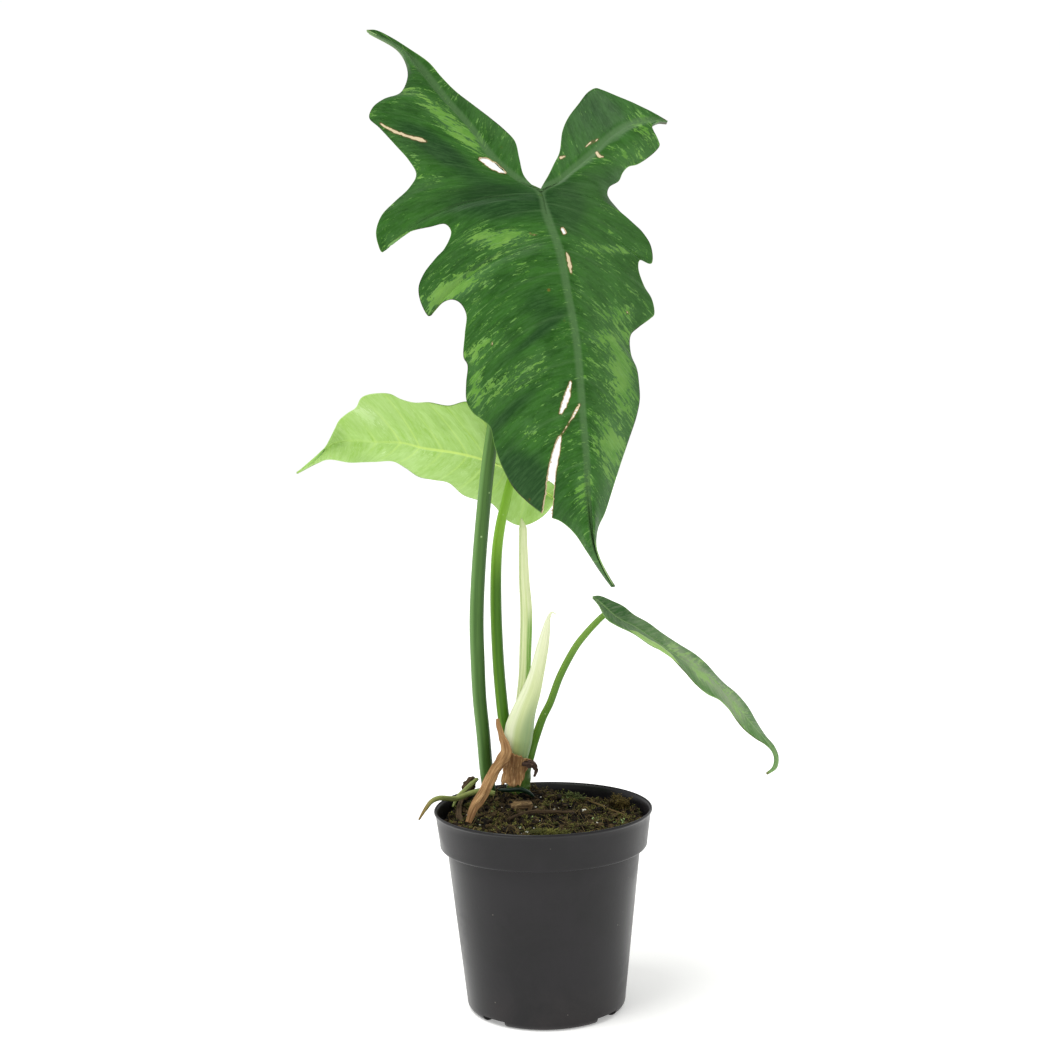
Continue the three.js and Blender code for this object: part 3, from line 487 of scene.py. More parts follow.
def make_materials():
    for make in (marbling_group, streak_group, speck_group, grime_group):
        make()
    pot_material()
    dark_edge = "3a2a1a"
    # The deepest ground tone, 123812, is also the painted shade of the shadow band on the upper-left lobe.
    leaf_material("large_leaf_face", "123812 1e4c0c 30621c 4a7440", "5a9030 77a548", "74a352", "55764a",
                  dark_edge,
                  0.26, 28.0, rib_width=3.8, rib_share=0.62, right_tone="557c48")
    leaf_material("large_leaf_back", "567f40 5f8a48 6d9a55 7ba562", "86b060 9cc070", "94b868", "93b573",
                  dark_edge,
                  0.3, 15.0, sheen=0.55)
    leaf_material("pale_leaf_under", "7ba446 96c05a a6cc72 bcdc92", "b4d888 c4e09c", "b0d480", "c9e676",
                  "5c7a30",
                  0.2, 9.0, 1.7, 0.5, 1.6, rib_fade=(0.75, 1.25), vein_share=0.4)
    leaf_material("pale_leaf_face", "4f8a2c 5d9436 6aa03e 74ab45", "8cc052 9ccc62", "93c457", "a4cf6a",
                  "4f6a28",
                  0.25, 12.0, 1.7)
    # The palest ground tone, a2ae90, is a painted grey sheen laid where the drooping leaf's spots are
    # positive.
    leaf_material("young_leaf_face", "33602c 4a7638 5c864a a2ae90", "7fa85c 8fb56c", "8bb264", "86a96c",
                  "55632a",
                  0.18, 18.0, 4.1, 0.36, 1.0)
    leaf_material("young_leaf_under", "84aa60 8fb46c a3c47e b0cc90", "a8cc80 b6d68e", "a9cc80", "b9d58f",
                  "55632a",
                  0.18, 18.0, 4.1, 0.5, 1.0)
    stalk_material("large_stalk_skin", "6d9650", "4c7230", "2c521c", "9ab87c")
    stalk_material("pale_stalk_skin", "7cae38", "4c7c14", "376210", "b9d588", 3.0, 225)
    stalk_material("drooping_stalk_skin", "84a84a", "628f2c", "47741c", "c0da90", 5.0)
    stalk_material("stem_skin", "8aa848", "628434", "3b5a22", "a08a5c", 7.0)
    stalk_material("old_stub_skin", "16402a", "0e3020", "081f14", "42583c", 9.0)
    root_material()
    stalk_material("rolled_skin", "b4d48a", "9cc46c", "86ae58", "d8e8b8", 13.0)
    cataphyll_material()
    shoot_material()
    fibre_material("dark_sheath", "9a8274", "6b5448", "35261f")
    fibre_material("dry_sheath", "e0bd8c", "bc9260", "7c5836", 8.0, 0.7, 0.4)
    fibre_material("dead_fibre", "8a7250", "5c4a34", "33281c", 14.0, 0.85)
    fibre_material("bark_skin", "b0966c", "836a46", "4f3d28", 10.0, 0.85)
    fibre_material("twig_skin", "ab9060", "86703f", "5c4a2c", 6.0, 0.8)
    mix_material("peat_ground", "0d0906 1d160d 2f2a18 8c7a5a")
    mix_material("peat_crumb", "0f0a06 2b2116 5a4a30 a08c66", 0.04)
    mix_material("peat_fibre", "1f180e 4a3d24 8f7d50 c0aa78", 0.03)
    moss_material("moss_olive", "363a16", "7c7a38")
    moss_material("moss_green", "2c3520", "66703c")
    moss_material("moss_brown", "30240f", "7a6a34")
    moss_material("sprout_green", "6c9048", "a9c488")
    perlite_material()


# ------------------------------------------------------------------ shapes
def curve_point(points, at):
    """The point and the direction at a place on the smooth curve through the points, counted in points."""
    last = len(points) - 1
    at = min(max(at, 0.0), last)
    i = min(int(at), last - 1)
    w = at - i
    p1, p2 = points[i], points[i + 1]
    p0 = points[i - 1] if i > 0 else p1 * 2 - p2
    p3 = points[i + 2] if i + 2 <= last else p2 * 2 - p1
    d0, d1, d2 = (max((b - a).length, 1e-6) ** 0.5 for a, b in ((p0, p1), (p1, p2), (p2, p3)))
    t1 = ((p1 - p0) / d0 - (p2 - p0) / (d0 + d1) + (p2 - p1) / d1) * d1
    t2 = ((p2 - p1) / d1 - (p3 - p1) / (d1 + d2) + (p3 - p2) / d2) * d1
    a = p1 * 2 - p2 * 2 + t1 + t2
    b = p2 * 3 - p1 * 3 - t1 * 2 - t2
    return ((a * w + b) * w + t1) * w + p1, ((a * 3 * w + b * 2) * w + t1).normalized()


def even_steps(value, low, high):
    """0 below low, 1 above high and a smooth step between."""
    share = min(max((value - low) / (high - low), 0.0), 1.0)
    return share * share * (3 - 2 * share)


def grid(bm, rows, columns, place, mapped):
    """A sheet of rows x columns faces: place(row, column) puts a corner and mapped(row, column) its UV."""
    corners = bmesh.ops.create_grid(bm, x_segments=rows, y_segments=columns, size=0.5)["verts"]
    uv = bm.loops.layers.uv.verify()
    spots = {}
    for corner in corners:
        spots[corner] = (round((corner.co.x + 0.5) * rows), round((corner.co.y + 0.5) * columns))
    faces = {face for corner in corners for face in corner.link_faces}
    for face in faces:
        face.smooth = True
        for loop in face.loops:
            loop[uv].uv = mapped(*spots[loop.vert])
    for corner, spot in spots.items():
        corner.co = place(*spot)
    return spots


def tone_layer(bm):
    """The layer that holds how light each scattered bit is."""
    return bm.verts.layers.float.get("tone") or bm.verts.layers.float.new("tone")


def tube(bm, route, radii, sides=20, steps=6, flat=1.0, facing=FRONT, shape=None, closed=True, tone=None):
    """A stalk along a route. The radii belong to the route's points, flat squeezes the section along
    facing, and shape(angle, share) gives the section its ridges."""
    rings = (len(route) - 1) * steps
    first = 1 if closed else 0
    rows = rings + 2 * first
    spine = []
    length = 0.0
    for ring in range(rings + 1):
        at = ring / steps
        i = min(int(at), len(radii) - 2)
        centre, along = curve_point(route, at)
        if spine:
            length += (centre - spine[-1][0]).length
        side = along.cross(facing).normalized()
        radius = radii[i] + (radii[i + 1] - radii[i]) * (at - i)
        spine.append((centre, side, side.cross(along), radius, length))

    def place(row, column):
        ring = min(max(row - first, 0), rings)
        centre, side, face, radius, _ = spine[ring]
        if closed and row in (0, rows):
            return centre
        angle = TURN * column / sides
        if shape:
            radius *= shape(angle, ring / rings)
        return centre + side * (math.sin(angle) * radius) - face * (math.cos(angle) * radius * flat)

    def mapped(row, column):
        ring = min(max(row - first, 0), rings)
        return (column / sides, spine[ring][4] / 100)

    made = grid(bm, rows, sides, place, mapped)
    if tone is not None:
        layer = tone_layer(bm)
        for vert in made:
            vert[layer] = tone
    bmesh.ops.remove_doubles(bm, verts=list(made), dist=1e-4)


def finish_piece(bm, name, materials, replaced=(), wall=None, outwards=True):
    """Turns a mesh worked in millimetres into a finished piece that rides on the plant's body."""
    if outwards:
        bmesh.ops.recalc_face_normals(bm, faces=bm.faces)
    bmesh.ops.transform(bm, matrix=Matrix.Scale(METRE, 4), verts=bm.verts)
    mesh = bpy.data.meshes.new(name)
    bm.to_mesh(mesh)
    bm.free()
    piece = bpy.data.objects.new(name, mesh)
    bpy.context.scene.collection.objects.link(piece)
    for label in materials:
        mesh.materials.append(bpy.data.materials[label])
    if wall:
        shell = piece.modifiers.new("wall", "SOLIDIFY")
        shell.thickness = wall * METRE
        shell.offset = 0.0
        shell.material_offset = len(materials) - 1
    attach(piece, BODY)
    if replaced:
        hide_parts(*replaced)
    return piece


def make_tube(name, route, radii, material, replaced=(), slot=None, **options):
    bm = bmesh.new()
    tube(bm, route, radii, **options)
    return finish_piece(bm, name, (material,), replaced)


def to_vectors(points):
    return [Vector(point) for point in points]


# ------------------------------------------------------------------ blades
LEAF_STEP = 1.1


def fine_stations(margins):
    """Places on the rib shared by all halves of a blade, close enough for a smooth margin."""
    keys = sorted({key for margin in margins for key, *_ in margin})
    fine = []
    for low, high in zip(keys, keys[1:]):
        gap = 0.0
        for margin in margins:
            if high <= margin[-1][0]:
                gap = max(gap, (margin_point(margin, low)[0] - margin_point(margin, high)[0]).length)
        parts = max(1, math.ceil(gap / LEAF_STEP))
        fine += [low + (high - low) * part / parts for part in range(parts)]
    return fine + [keys[-1]]


def margin_point(margin, station):
    """The margin's point that belongs to a place on the rib, and its place among the margin's points."""
    points = [Vector(spot[1:]) for spot in margin]
    after = next((i for i, spot in enumerate(margin) if spot[0] >= station), len(margin) - 1)
    after = max(after, 1)
    low, high = margin[after - 1][0], margin[after][0]
    at = after - 1 + (station - low) / (high - low)
    return curve_point(points, at)[0], at


def half_blade(bm, rib, margin, stations, columns, side, arch=0.0, swell=0.0, veins=(), quilt=0.0):
    """One half of a blade: every row follows a vein from the rib to the margin. Rows bend back by arch,
    the face swells forward by swell, and it rises by quilt between the veins."""
    rib = to_vectors(rib)
    rows = [station for station in stations if station <= margin[-1][0] + 1e-6]
    along = 0.0
    lines = []
    for station in rows:
        inner, heading = curve_point(rib, station)
        outer, _ = margin_point(margin, station)
        if lines:
            along += 0.4 * (inner - lines[-1][0]).length + 0.6 * (outer - lines[-1][1]).length
        span = (outer - inner).length
        lines.append((inner, outer, heading * (-arch * span), span, along, station))

    def vein_closeness(station):
        return min((abs(station - vein) for vein in veins), default=9.0)

    def place(row, column):
        inner, outer, back, _, _, station = lines[row]
        reach = column / columns
        hump = 4 * reach * (1 - reach)
        point = inner.lerp(outer, reach) + back * hump + FRONT * (swell * hump)
        if quilt and veins:
            between = 0.5 - 0.5 * math.cos(min(vein_closeness(station) * 3.2, math.pi))
            puff = quilt * between * even_steps(reach, 0.02, 0.3)
            point += FRONT * (puff * even_steps(1 - reach, 0.0, 0.3))
        return point

    def mapped(row, column):
        return (lines[row][4] / 100, side * lines[row][3] * column / columns / 100)

    spots = grid(bm, len(rows) - 1, columns, place, mapped)
    rib_mm = bm.verts.layers.float["rib_mm"]
    edge_mm = bm.verts.layers.float["edge_mm"]
    vein = bm.verts.layers.float["vein"]
    for corner, (row, column) in spots.items():
        _, _, _, span, _, station = lines[row]
        reach = column / columns
        corner[rib_mm] = span * reach
        corner[edge_mm] = span * (1 - reach)
        width = 0.045 * (1 - 0.5 * reach)
        corner[vein] = (1 - even_steps(vein_closeness(station), width * 0.3, width)) * (1 - 0.6 * reach)


def begin_blade():
    bm = bmesh.new()
    for layer in ("rib_mm", "edge_mm", "vein", "scar_mm"):
        bm.verts.layers.float.new(layer)
    return bm


GROOVE_FADE = 14.0


def groove(bm, depth, width):
    """Sinks the rib into the face, less where the blade is narrow."""
    bm.normal_update()
    rib_mm = bm.verts.layers.float["rib_mm"]
    edge_mm = bm.verts.layers.float["edge_mm"]
    for vert in bm.verts:
        fade = min(1.0, vert[edge_mm] / GROOVE_FADE)
        vert.co -= vert.normal * (depth * fade * math.exp(-(vert[rib_mm] / width) ** 2))


def face_towards(bm, direction):
    """Welds the halves and turns the whole sheet so that its face looks along the direction."""
    bmesh.ops.remove_doubles(bm, verts=bm.verts, dist=1e-3)
    bmesh.ops.recalc_face_normals(bm, faces=bm.faces)
    total = sum((face.normal * face.calc_area() for face in bm.faces), Vector())
    if total.dot(direction) < 0:
        bmesh.ops.reverse_faces(bm, faces=bm.faces)


def nearest_on_slit(x, z, path):
    """How far a point lies outside a slit, whose path is a list of (x, z, half width), and which way."""
    best = (1e9, Vector((1, 0)))
    for (ax, az, aw), (bx, bz, bw) in zip(path, path[1:]):
        step = Vector((bx - ax, bz - az))
        share = min(max((Vector((x - ax, z - az))).dot(step) / step.length_squared, 0.0), 1.0)
        offset = Vector((x - ax, z - az)) - step * share
        distance = offset.length - (aw + (bw - aw) * share)
        if distance < best[0]:
            best = (distance, offset.normalized() if offset.length > 1e-6 else Vector((1, 0)))
    return best


HEALED = 0.3  # how much narrower a healed scar is than its path


def brown_tips(bm, tips):
    """Marks the last bit of each tip as dry."""
    scar = bm.verts.layers.float["scar_mm"]
    for vert in bm.verts:
        nearest = min((vert.co - Vector(tip)).length for tip in tips)
        vert[scar] = 0.1 + nearest * 0.3


def cut_slits(bm, slits):
    """Opens torn slits in a sheet seen from the front, and marks how near the torn edge each point is."""
    scar = bm.verts.layers.float["scar_mm"]
    for path, is_open in slits:
        low_x = min(p[0] - p[2] for p in path) - 4
        high_x = max(p[0] + p[2] for p in path) + 4
        low_z = min(p[1] - p[2] for p in path) - 4
        high_z = max(p[1] + p[2] for p in path) + 4
        near = [v for v in bm.verts if low_x < v.co.x < high_x and low_z < v.co.z < high_z]
        gaps = {}
        for vert in near:
            distance, away = nearest_on_slit(vert.co.x, vert.co.z, path)
            distance += 0.45 * noise.noise(Vector((vert.co.x * 0.7, vert.co.z * 0.7, 3)))
            if is_open and abs(distance) < 0.6:
                vert.co.x -= away.x * distance
                vert.co.z -= away.y * distance
                distance = 0.0
            gaps[vert] = distance
            if not is_open:
                distance += HEALED
            vert[scar] = min(vert[scar], max(distance, 0.0))
        if is_open:
            doomed = [f for f in {f for v in near for f in v.link_faces}
                      if all(gaps.get(v, 1.0) <= 0.02 for v in f.verts)]
            bmesh.ops.delete(bm, geom=doomed, context="FACES")


MIDRIB_LARGE = [
    (0, 0, 0), (3, -4, -12), (9, -9, -30), (13, -12, -52), (17, -14, -77), (19, -16, -105),
    (21, -18, -135), (22, -20, -160), (24, -22, -182), (28, -23, -194), (33, -24, -204),
]
LARGE_LEFT_RIB = [
    (-88, 2, 83), (-71, 5, 75), (-61, 6, 64), (-47, 6, 47), (-35, 5, 33), (-24, 4, 17), (-11, 2, 6),
    *MIDRIB_LARGE,
]
LARGE_RIGHT_RIB = [
    (66, 6, 35), (58, 4, 36), (48, 2, 34), (37, 2, 28), (27, 2, 19), (17, 1, 11), (8, 0, 4), *MIDRIB_LARGE,
]
LARGE_LEFT_MARGIN = [
    (0, -87, 2, 82), (0.9, -73, 5, 74), (1.6, -69, 7, 68), (2.3, -68, 8, 61), (3, -72, 9, 53),
    (3.7, -81, 10, 50), (4.4, -87, 11, 46), (4.8, -89, 12, 41), (5.1, -84, 12, 36), (5.5, -75, 12, 26),
    (5.9, -69, 12, 19), (6.2, -65, 11, 11), (6.4, -69, 11, 4), (6.6, -77, 12, -3), (6.8, -84, 12, -10),
    (7, -87, 12, -18), (7.1, -86, 11, -25), (7.2, -84, 10, -29), (7.3, -79, 9, -24), (7.4, -69, 6, -19),
    (7.5, -58, 3, -17), (7.6, -50, 1, -16), (7.7, -47, 0, -20), (7.9, -51, 1, -29), (8.1, -56, 2, -34),
    (8.3, -62, 4, -41), (8.45, -65, 6, -48), (8.6, -64, 7, -56), (8.75, -60, 8, -63), (8.85, -57, 6, -60),
    (8.95, -52, 3, -56), (9.1, -47, 1, -55), (9.25, -43, 0, -57), (9.45, -40, 0, -63), (9.75, -41, 0, -73),
    (10.1, -42, 2, -85), (10.25, -40, 1, -89), (10.5, -41, 2, -99), (10.8, -41, 4, -108),
    (11.1, -38, 6, -114), (11.4, -33, 8, -118), (11.7, -29, 9, -122), (12, -27, 8, -131),
    (12.4, -23, 6, -143), (12.8, -17, 2, -154), (13.2, -9, -3, -162), (13.6, -1, -8, -168),
    (13.9, 7, -12, -171), (14.3, 14, -16, -177), (15, 20, -19, -186), (16.4, 27, -22, -197),
    (17, 32, -24, -204),
]
LARGE_RIGHT_MARGIN = [
    (0, 66, 6, 34), (0.5, 61, 5, 34), (0.9, 57, 4, 31), (1.6, 60, 4, 27), (2, 62, 4, 23), (2.3, 60, 5, 20),
    (3, 51, 8, 14), (3.7, 46, 10, 13), (4.4, 43, 11, 10), (4.8, 41, 12, 6), (5.5, 36, 13, 3),
    (6.2, 35, 14, -1), (6.6, 40, 15, -8), (6.8, 46, 16, -14), (7.2, 53, 17, -20), (7.5, 58, 18, -28),
    (7.7, 58, 17, -37), (7.9, 52, 17, -35), (8.1, 51, 17, -39), (8.45, 54, 17, -49), (8.75, 58, 17, -56),
    (9.1, 59, 16, -64), (9.25, 57, 15, -66), (9.45, 50, 13, -71), (9.75, 46, 11, -75), (10.1, 46, 10, -85),
    (10.5, 49, 9, -93), (10.8, 50, 8, -102), (11.1, 50, 6, -109), (11.4, 48, 4, -118), (12, 44, 2, -129),
    (12.4, 39, -3, -142), (13.2, 34, -8, -156), (13.6, 30, -12, -167), (14.3, 26, -16, -175),
    (15, 25, -19, -184), (15.6, 27, -20, -191), (16.4, 31, -23, -199), (17, 34, -24, -204),
]
LARGE_LEFT_LOBE = [
    (0, -88, 2, 84), (0.5, -84, 3, 84), (0.9, -77, 5, 81), (1.6, -67, 7, 75), (2, -57, 8, 68),
    (2.3, -51, 9, 61), (3, -44, 12, 54), (3.7, -35, 13, 47), (4.4, -26, 13, 40), (4.8, -18, 12, 33),
    (5.5, -13, 10, 27), (5.9, -11, 7, 18), (6.2, -9, 4, 9), (6.6, -4, 1, 3), (7, 0, 0.5, 1),
]
LARGE_RIGHT_LOBE = [
    (0, 66, 6, 36), (0.5, 56, 8, 42), (0.9, 49, 11, 46), (1.6, 41, 14, 50), (2, 33, 17, 54),
    (2.3, 30, 18, 55),
    (3, 26, 18, 53), (3.7, 21, 17, 47), (4.4, 15, 14, 39), (4.8, 12, 11, 32), (5.5, 10, 6, 20),
    (5.9, 7, 4, 14), (6.2, 4, 2, 8), (6.6, 1, 1, 3), (7, 0, 0.5, 1),
]
LARGE_TOP = above(4.7, -26, 339.2)
# Torn slits and healed scars: (x, z, half width) from the stalk's top, and whether one goes through.
LARGE_SLITS = [
    ([(-83, 37.8, 0.4), (-77, 33.8, 0.7), (-69, 30.3, 0.6), (-62, 28, 0.9), (-59, 26.9, 0.4)], False),
    ([(-31.6, 17.4, 0.3), (-28.5, 16.2, 1.5), (-24, 13.6, 2), (-20.5, 11.2, 1.2), (-18.3, 9.8, 0.3)], True),
    ([(23.5, 22.5, 0.2), (26, 24.4, 0.7), (29, 25.8, 0.6), (32, 26.8, 0.2)], False),
    ([(29.6, 19.2, 0.7), (30.2, 17.6, 0.9), (32.6, 17, 0.3)], False),
    ([(10.8, 17.4, 0.8), (12.6, 18, 0.5)], False),
    ([(10.8, -20.4, 0.8), (11.4, -22, 0.9)], True),
    ([(12.4, -32.6, 0.3), (13.4, -36, 0.9), (14.2, -40, 1.0), (14.6, -43.4, 0.4)], False),
    ([(-6.4, -22, 0.15), (-4.6, -23, 0.3), (-2.6, -23.2, 0.15)], False),
    ([(13.4, -99, 0.3), (11.8, -105.5, 1.3), (9.6, -111.5, 1.2), (8, -115, 0.5)], True),
    ([(17.6, -110.8, 0.2), (15.6, -114.5, 0.5), (13.6, -118, 0.2)], True),
    ([(13.2, -118.4, 0.2), (10.2, -123.4, 0.25), (7.6, -127, 0.2)], False),
    ([(7.2, -127.6, 0.7), (5.4, -135, 1.7), (3.4, -143, 1.9), (2.4, -150, 2), (1.5, -158, 2.1),
      (0, -168, 2.6),
      (-1, -174, 2.9)], True),
    ([(44.2, -62.6, 0.5), (45, -63.2, 0.4)], False),
    ([(-26.8, -78, 0.5), (-26.4, -79, 0.45)], False),
]


# Where the marbled patches are dense or sparse, and where painted shade and painted sheen go: (x, z) from the
# stalk's top, half sizes, slant in degrees, strength.
LARGE_MARBLING_AND_SHADE = [
    (-21, -24, 18, 5, 4, 0.5), (-40, -47, 24, 6, 27, 0.34), (-22, -92, 24, 16, 30, 0.06),
    (-9, -92, 20, 6, 38, 0.2),
    (41, -100, 9, 26, 8, 0.34), (31, -76, 16, 4, 8, 0.28), (37, -30, 20, 3, -4, 0.34),
    (41, -64, 16, 5, 12, 0.26),
    (35, -132, 7, 14, 10, 0.4), (19, -154, 6, 14, 0, 0.36), (-9, -123, 8, 8, 40, 0.26),
    (-50, -52, 13, 5, 20, 0.3),
    # The negative spot at (-54, 24) paints the shadow band beside the raised rib of the upper-left lobe.
    (-76, -27, 11, 6, 30, 0.24), (-44, 34, 26, 4.5, -42, 0.46), (-54, 24, 26, 5.5, -36, -0.55),
    (54, 36, 9, 6, 0, 0.26), (51, 19, 15, 8, 10, 0.22), (-36, -101, 4, 15, 0, 0.3),
    (-11, -152, 15, 20, 30, -0.6),
    (-21, -5, 32, 11, 0, -0.5), (27, 42, 19, 17, 0, -0.25), (-2, -60, 12, 14, 30, -0.3),
    (14, -10, 10, 14, 0, -0.4),
    (-66, 10, 18, 6, -20, 0.12), (-8, -78, 26, 3, 38, -0.35), (-16, -112, 22, 4, 40, -0.35),
    (38, 6, 12, 8, 0, -0.3),
    (30, -140, 8, 26, 0, 0.12), (36, -90, 12, 20, 0, 0.06), (-30, -80, 30, 5, 34, 0.14),
    (-34, -108, 6, 12, 0, 0.08),
]
PALE_MARBLING = [
    (-79, 32, 15, 9, 0, 0.3), (-58, 6, 12, 8, 20, 0.24), (-98, 20, 9, 11, 0, -0.34),
    (-27, -14, 12, 6, -20, 0.24),
    (-84, 6, 10, 6, 0, -0.2), (-36, 27, 12, 8, 0, -0.14), (-44, -6, 8, 6, 0, -0.16),
]
DROOPING_MARBLING_AND_SHEEN = [
    # The spot at (52, -36) lays a painted sheen across the middle of the blade, with more marbled patches.
    (52, -36, 24, 3, -42, 0.4), (8, -3, 14, 6, -36, -0.5), (70, -56, 10, 5, -50, 0.3),
    (36, -32, 10, 3, -42, -0.5),
]


def marble(bm, spots):
    """Notes on each point how dense the marbled patches are there; the same value also lays painted shade and
    painted sheen in places.
    """
    layer = bm.verts.layers.float.new("marbling_and_painted_light")
    for vert in bm.verts:
        total = 0.0
        for x, z, half_x, half_z, slant, strength in spots:
            turn = math.radians(slant)
            dx, dz = vert.co.x - x, vert.co.z - z
            along = (dx * math.cos(turn) + dz * math.sin(turn)) / half_x
            across = (dz * math.cos(turn) - dx * math.sin(turn)) / half_z
            total += strength * math.exp(-along * along - across * across)
        vert[layer] = total


def make_large_blade(columns):
    bm = begin_blade()
    margins = (LARGE_LEFT_MARGIN, LARGE_RIGHT_MARGIN, LARGE_LEFT_LOBE, LARGE_RIGHT_LOBE)
    stations = fine_stations(margins)
    left_veins = (1.0, 2.6, 4.6, 6.0, 7.15, 7.9, 8.7, 9.6, 10.5, 11.4, 12.3, 13.2, 14.2, 15.2)
    right_veins = (1.2, 2.4, 4.0, 5.4, 6.6, 7.6, 8.3, 9.05, 9.9, 10.8, 11.7, 12.7, 13.7, 14.8)
    half_blade(bm, LARGE_LEFT_RIB, LARGE_LEFT_MARGIN, stations, columns, 1, 0.1, 4, left_veins, 2.2)
    half_blade(bm, LARGE_RIGHT_RIB, LARGE_RIGHT_MARGIN, stations, columns, -1, 0.1, 4, right_veins, 1.7)
    lobes = max(6, columns // 3)
    half_blade(bm, LARGE_LEFT_RIB, LARGE_LEFT_LOBE, stations, lobes, -1)
    half_blade(bm, LARGE_RIGHT_RIB, LARGE_RIGHT_LOBE, stations, lobes, 1)
    face_towards(bm, FRONT)
    groove(bm, 0.9, 2.2)
    marble(bm, LARGE_MARBLING_AND_SHADE)
    brown_tips(bm, [MIDRIB_LARGE[-1], LARGE_LEFT_RIB[0], LARGE_RIGHT_RIB[0]])
    cut_slits(bm, LARGE_SLITS)
    bmesh.ops.translate(bm, vec=LARGE_TOP, verts=bm.verts)
    return finish_piece(bm, "large_blade", ("large_leaf_face", "large_leaf_back"), ("blade_large_leaf",),
                        wall=0.6, outwards=False)


PALE_MIDRIB = [
    (0, 0, 0), (-16, -2, 6), (-31, -3, 10), (-49, -4, 13), (-60, -4, 16), (-76, -3, 17), (-90, -1, 18),
    (-102, 2, 15), (-111, 4, 8), (-121, 6, 0),
]
PALE_UPPER_RIB = [(20, -13, 18), (9, -6, 8), *PALE_MIDRIB]
PALE_LOWER_RIB = [(23, 14, -18), (10, 7, -8), *PALE_MIDRIB]
PALE_UPPER_MARGIN = [
    (0, 21, -14, 20), (0.4, 15, -18, 26), (0.9, 5, -22, 31), (1.4, -6, -24, 34), (1.9, -17, -26, 37),
    (2.3, -25, -26, 38), (2.8, -34, -24, 36), (3.6, -45, -22, 38), (4.1, -53, -21, 38), (4.6, -60, -20, 40),
    (5, -66, -20, 43), (5.7, -77, -18, 43), (6.2, -82, -16, 41), (6.7, -85, -14, 36), (7.2, -90, -11, 33),
    (7.8, -95, -9, 29), (8.3, -98, -6, 24), (8.8, -101, -2, 19), (9.3, -104, 0, 14), (9.8, -107, 2, 10),
    (10.4, -113, 4, 5), (11, -120.5, 5.5, 0.5),
]
PALE_LOWER_MARGIN = [
    (0, 23, 15, -20), (0.4, 17, 14, -27), (0.8, 9, 17, -32), (1.1, 3, 19, -33), (1.5, -4, 20, -30),
    (1.9, -13, 20, -20), (2.3, -21, 21, -18), (2.7, -29, 21, -15), (3.2, -37, 21, -8), (3.8, -46, 20, -6),
    (4.3, -54, 19, -4), (4.8, -61, 18, 1), (5.4, -68, 17, 5), (6.2, -78, 16, 5), (6.9, -85, 14, 5),
    (7.6, -92, 12, 5), (8.8, -104, 9, 7), (9.8, -110, 7, 5), (11, -121, 6.5, -0.5),
]
PALE_UPPER_LOBE = [
    (0, 21, -13, 19), (0.4, 20, -9, 11), (0.9, 14, -5, 6), (1.4, 8, -2, 3), (1.8, 3, -0.6, 1), (2, 1, 0, 0),
]
PALE_LOWER_LOBE = [
    (0, 24, 14, -19), (0.4, 23, 9, -10), (0.9, 15, 5, -5), (1.4, 8, 2, -2.5), (1.8, 3, 0.6, -0.8),
    (2, 1, 0, 0),
]
PALE_TOP = above(-13.1, 26, 193)


def make_pale_blade(columns):
    bm = begin_blade()
    stations = fine_stations((PALE_UPPER_MARGIN, PALE_LOWER_MARGIN, PALE_UPPER_LOBE, PALE_LOWER_LOBE))
    veins = (1.2, 2.2, 2.9, 3.6, 4.4, 5.2, 6.1, 7.0, 8.0, 9.0)
    half_blade(bm, PALE_UPPER_RIB, PALE_UPPER_MARGIN, stations, columns, 1, 0.05, 3, veins, 1.2)
    half_blade(bm, PALE_LOWER_RIB, PALE_LOWER_MARGIN, stations, columns, -1, 0.05, 2, veins, 1.4)
    half_blade(bm, PALE_UPPER_RIB, PALE_UPPER_LOBE, stations, 6, -1)
    half_blade(bm, PALE_LOWER_RIB, PALE_LOWER_LOBE, stations, 6, 1)
    face_towards(bm, FRONT)
    groove(bm, -0.7, 1.5)
    marble(bm, PALE_MARBLING)
    brown_tips(bm, [PALE_MIDRIB[-1]])
    bmesh.ops.translate(bm, vec=PALE_TOP, verts=bm.verts)
    return finish_piece(bm, "pale_blade", ("pale_leaf_under", "pale_leaf_face"), ("blade_pale_leaf",),
                        wall=0.5, outwards=False)


DROOPING_RIB = [
    (-4, 0, 2.6), (0, -1, 0), (9, -4, -8), (19, -8, -13), (29, -11, -20), (39, -15, -27), (51, -19, -35),
    (58, -21, -39), (65, -24, -47), (72, -26, -55), (77, -28, -61), (83.5, -30.5, -69), (88.6, -32, -75.5),
    (91.4, -32, -81), (90.6, -32, -86.5), (86.1, -32, -90),
]
DROOPING_FAR = [
    (0, -4, 0.3, 3.2), (0.5, 0, 3, 3), (1, 7, 3, 0), (1.6, 13, 3, -3), (2.2, 19, 3, -8), (2.9, 26, 2, -12),
    (3.7, 34, 0, -18), (4.6, 43, -2, -24), (5.4, 51, -4, -29), (6.2, 57, -7, -34), (7, 63, -9, -41),
    (7.6, 67, -11, -45), (8.4, 72, -14, -49), (9.3, 78, -17, -56), (10.2, 83, -21, -65), (11, 86.8, -26, -71),
    (12, 90.4, -30, -75.2), (13, 92.6, -31, -80.8), (14, 91.6, -31.4, -87), (15, 86.5, -31.9, -90.4),
]
DROOPING_NEAR = [
    (0, -4, -0.5, 2.2), (0.6, -1, -6, -1), (1.2, 3, -11, -8), (1.7, 8, -15, -11), (2.4, 17, -20, -15),
    (3.1, 26, -24, -21), (3.8, 34, -27, -25), (4.6, 43, -31, -34), (5.2, 49, -32, -41), (5.8, 55, -34, -46),
    (6.5, 61, -35, -49), (7.2, 66, -35, -54), (8, 70, -36, -60), (8.9, 74, -36, -65), (9.8, 80, -36, -70),
    (11, 85.5, -34, -73.8), (12, 88.8, -33, -77.6), (13, 90, -32.6, -81.6), (14, 89.2, -32.4, -86),
    (15, 85.7, -32.1, -89.6),
]
DROOPING_TOP = above(33.3, 6, 120)


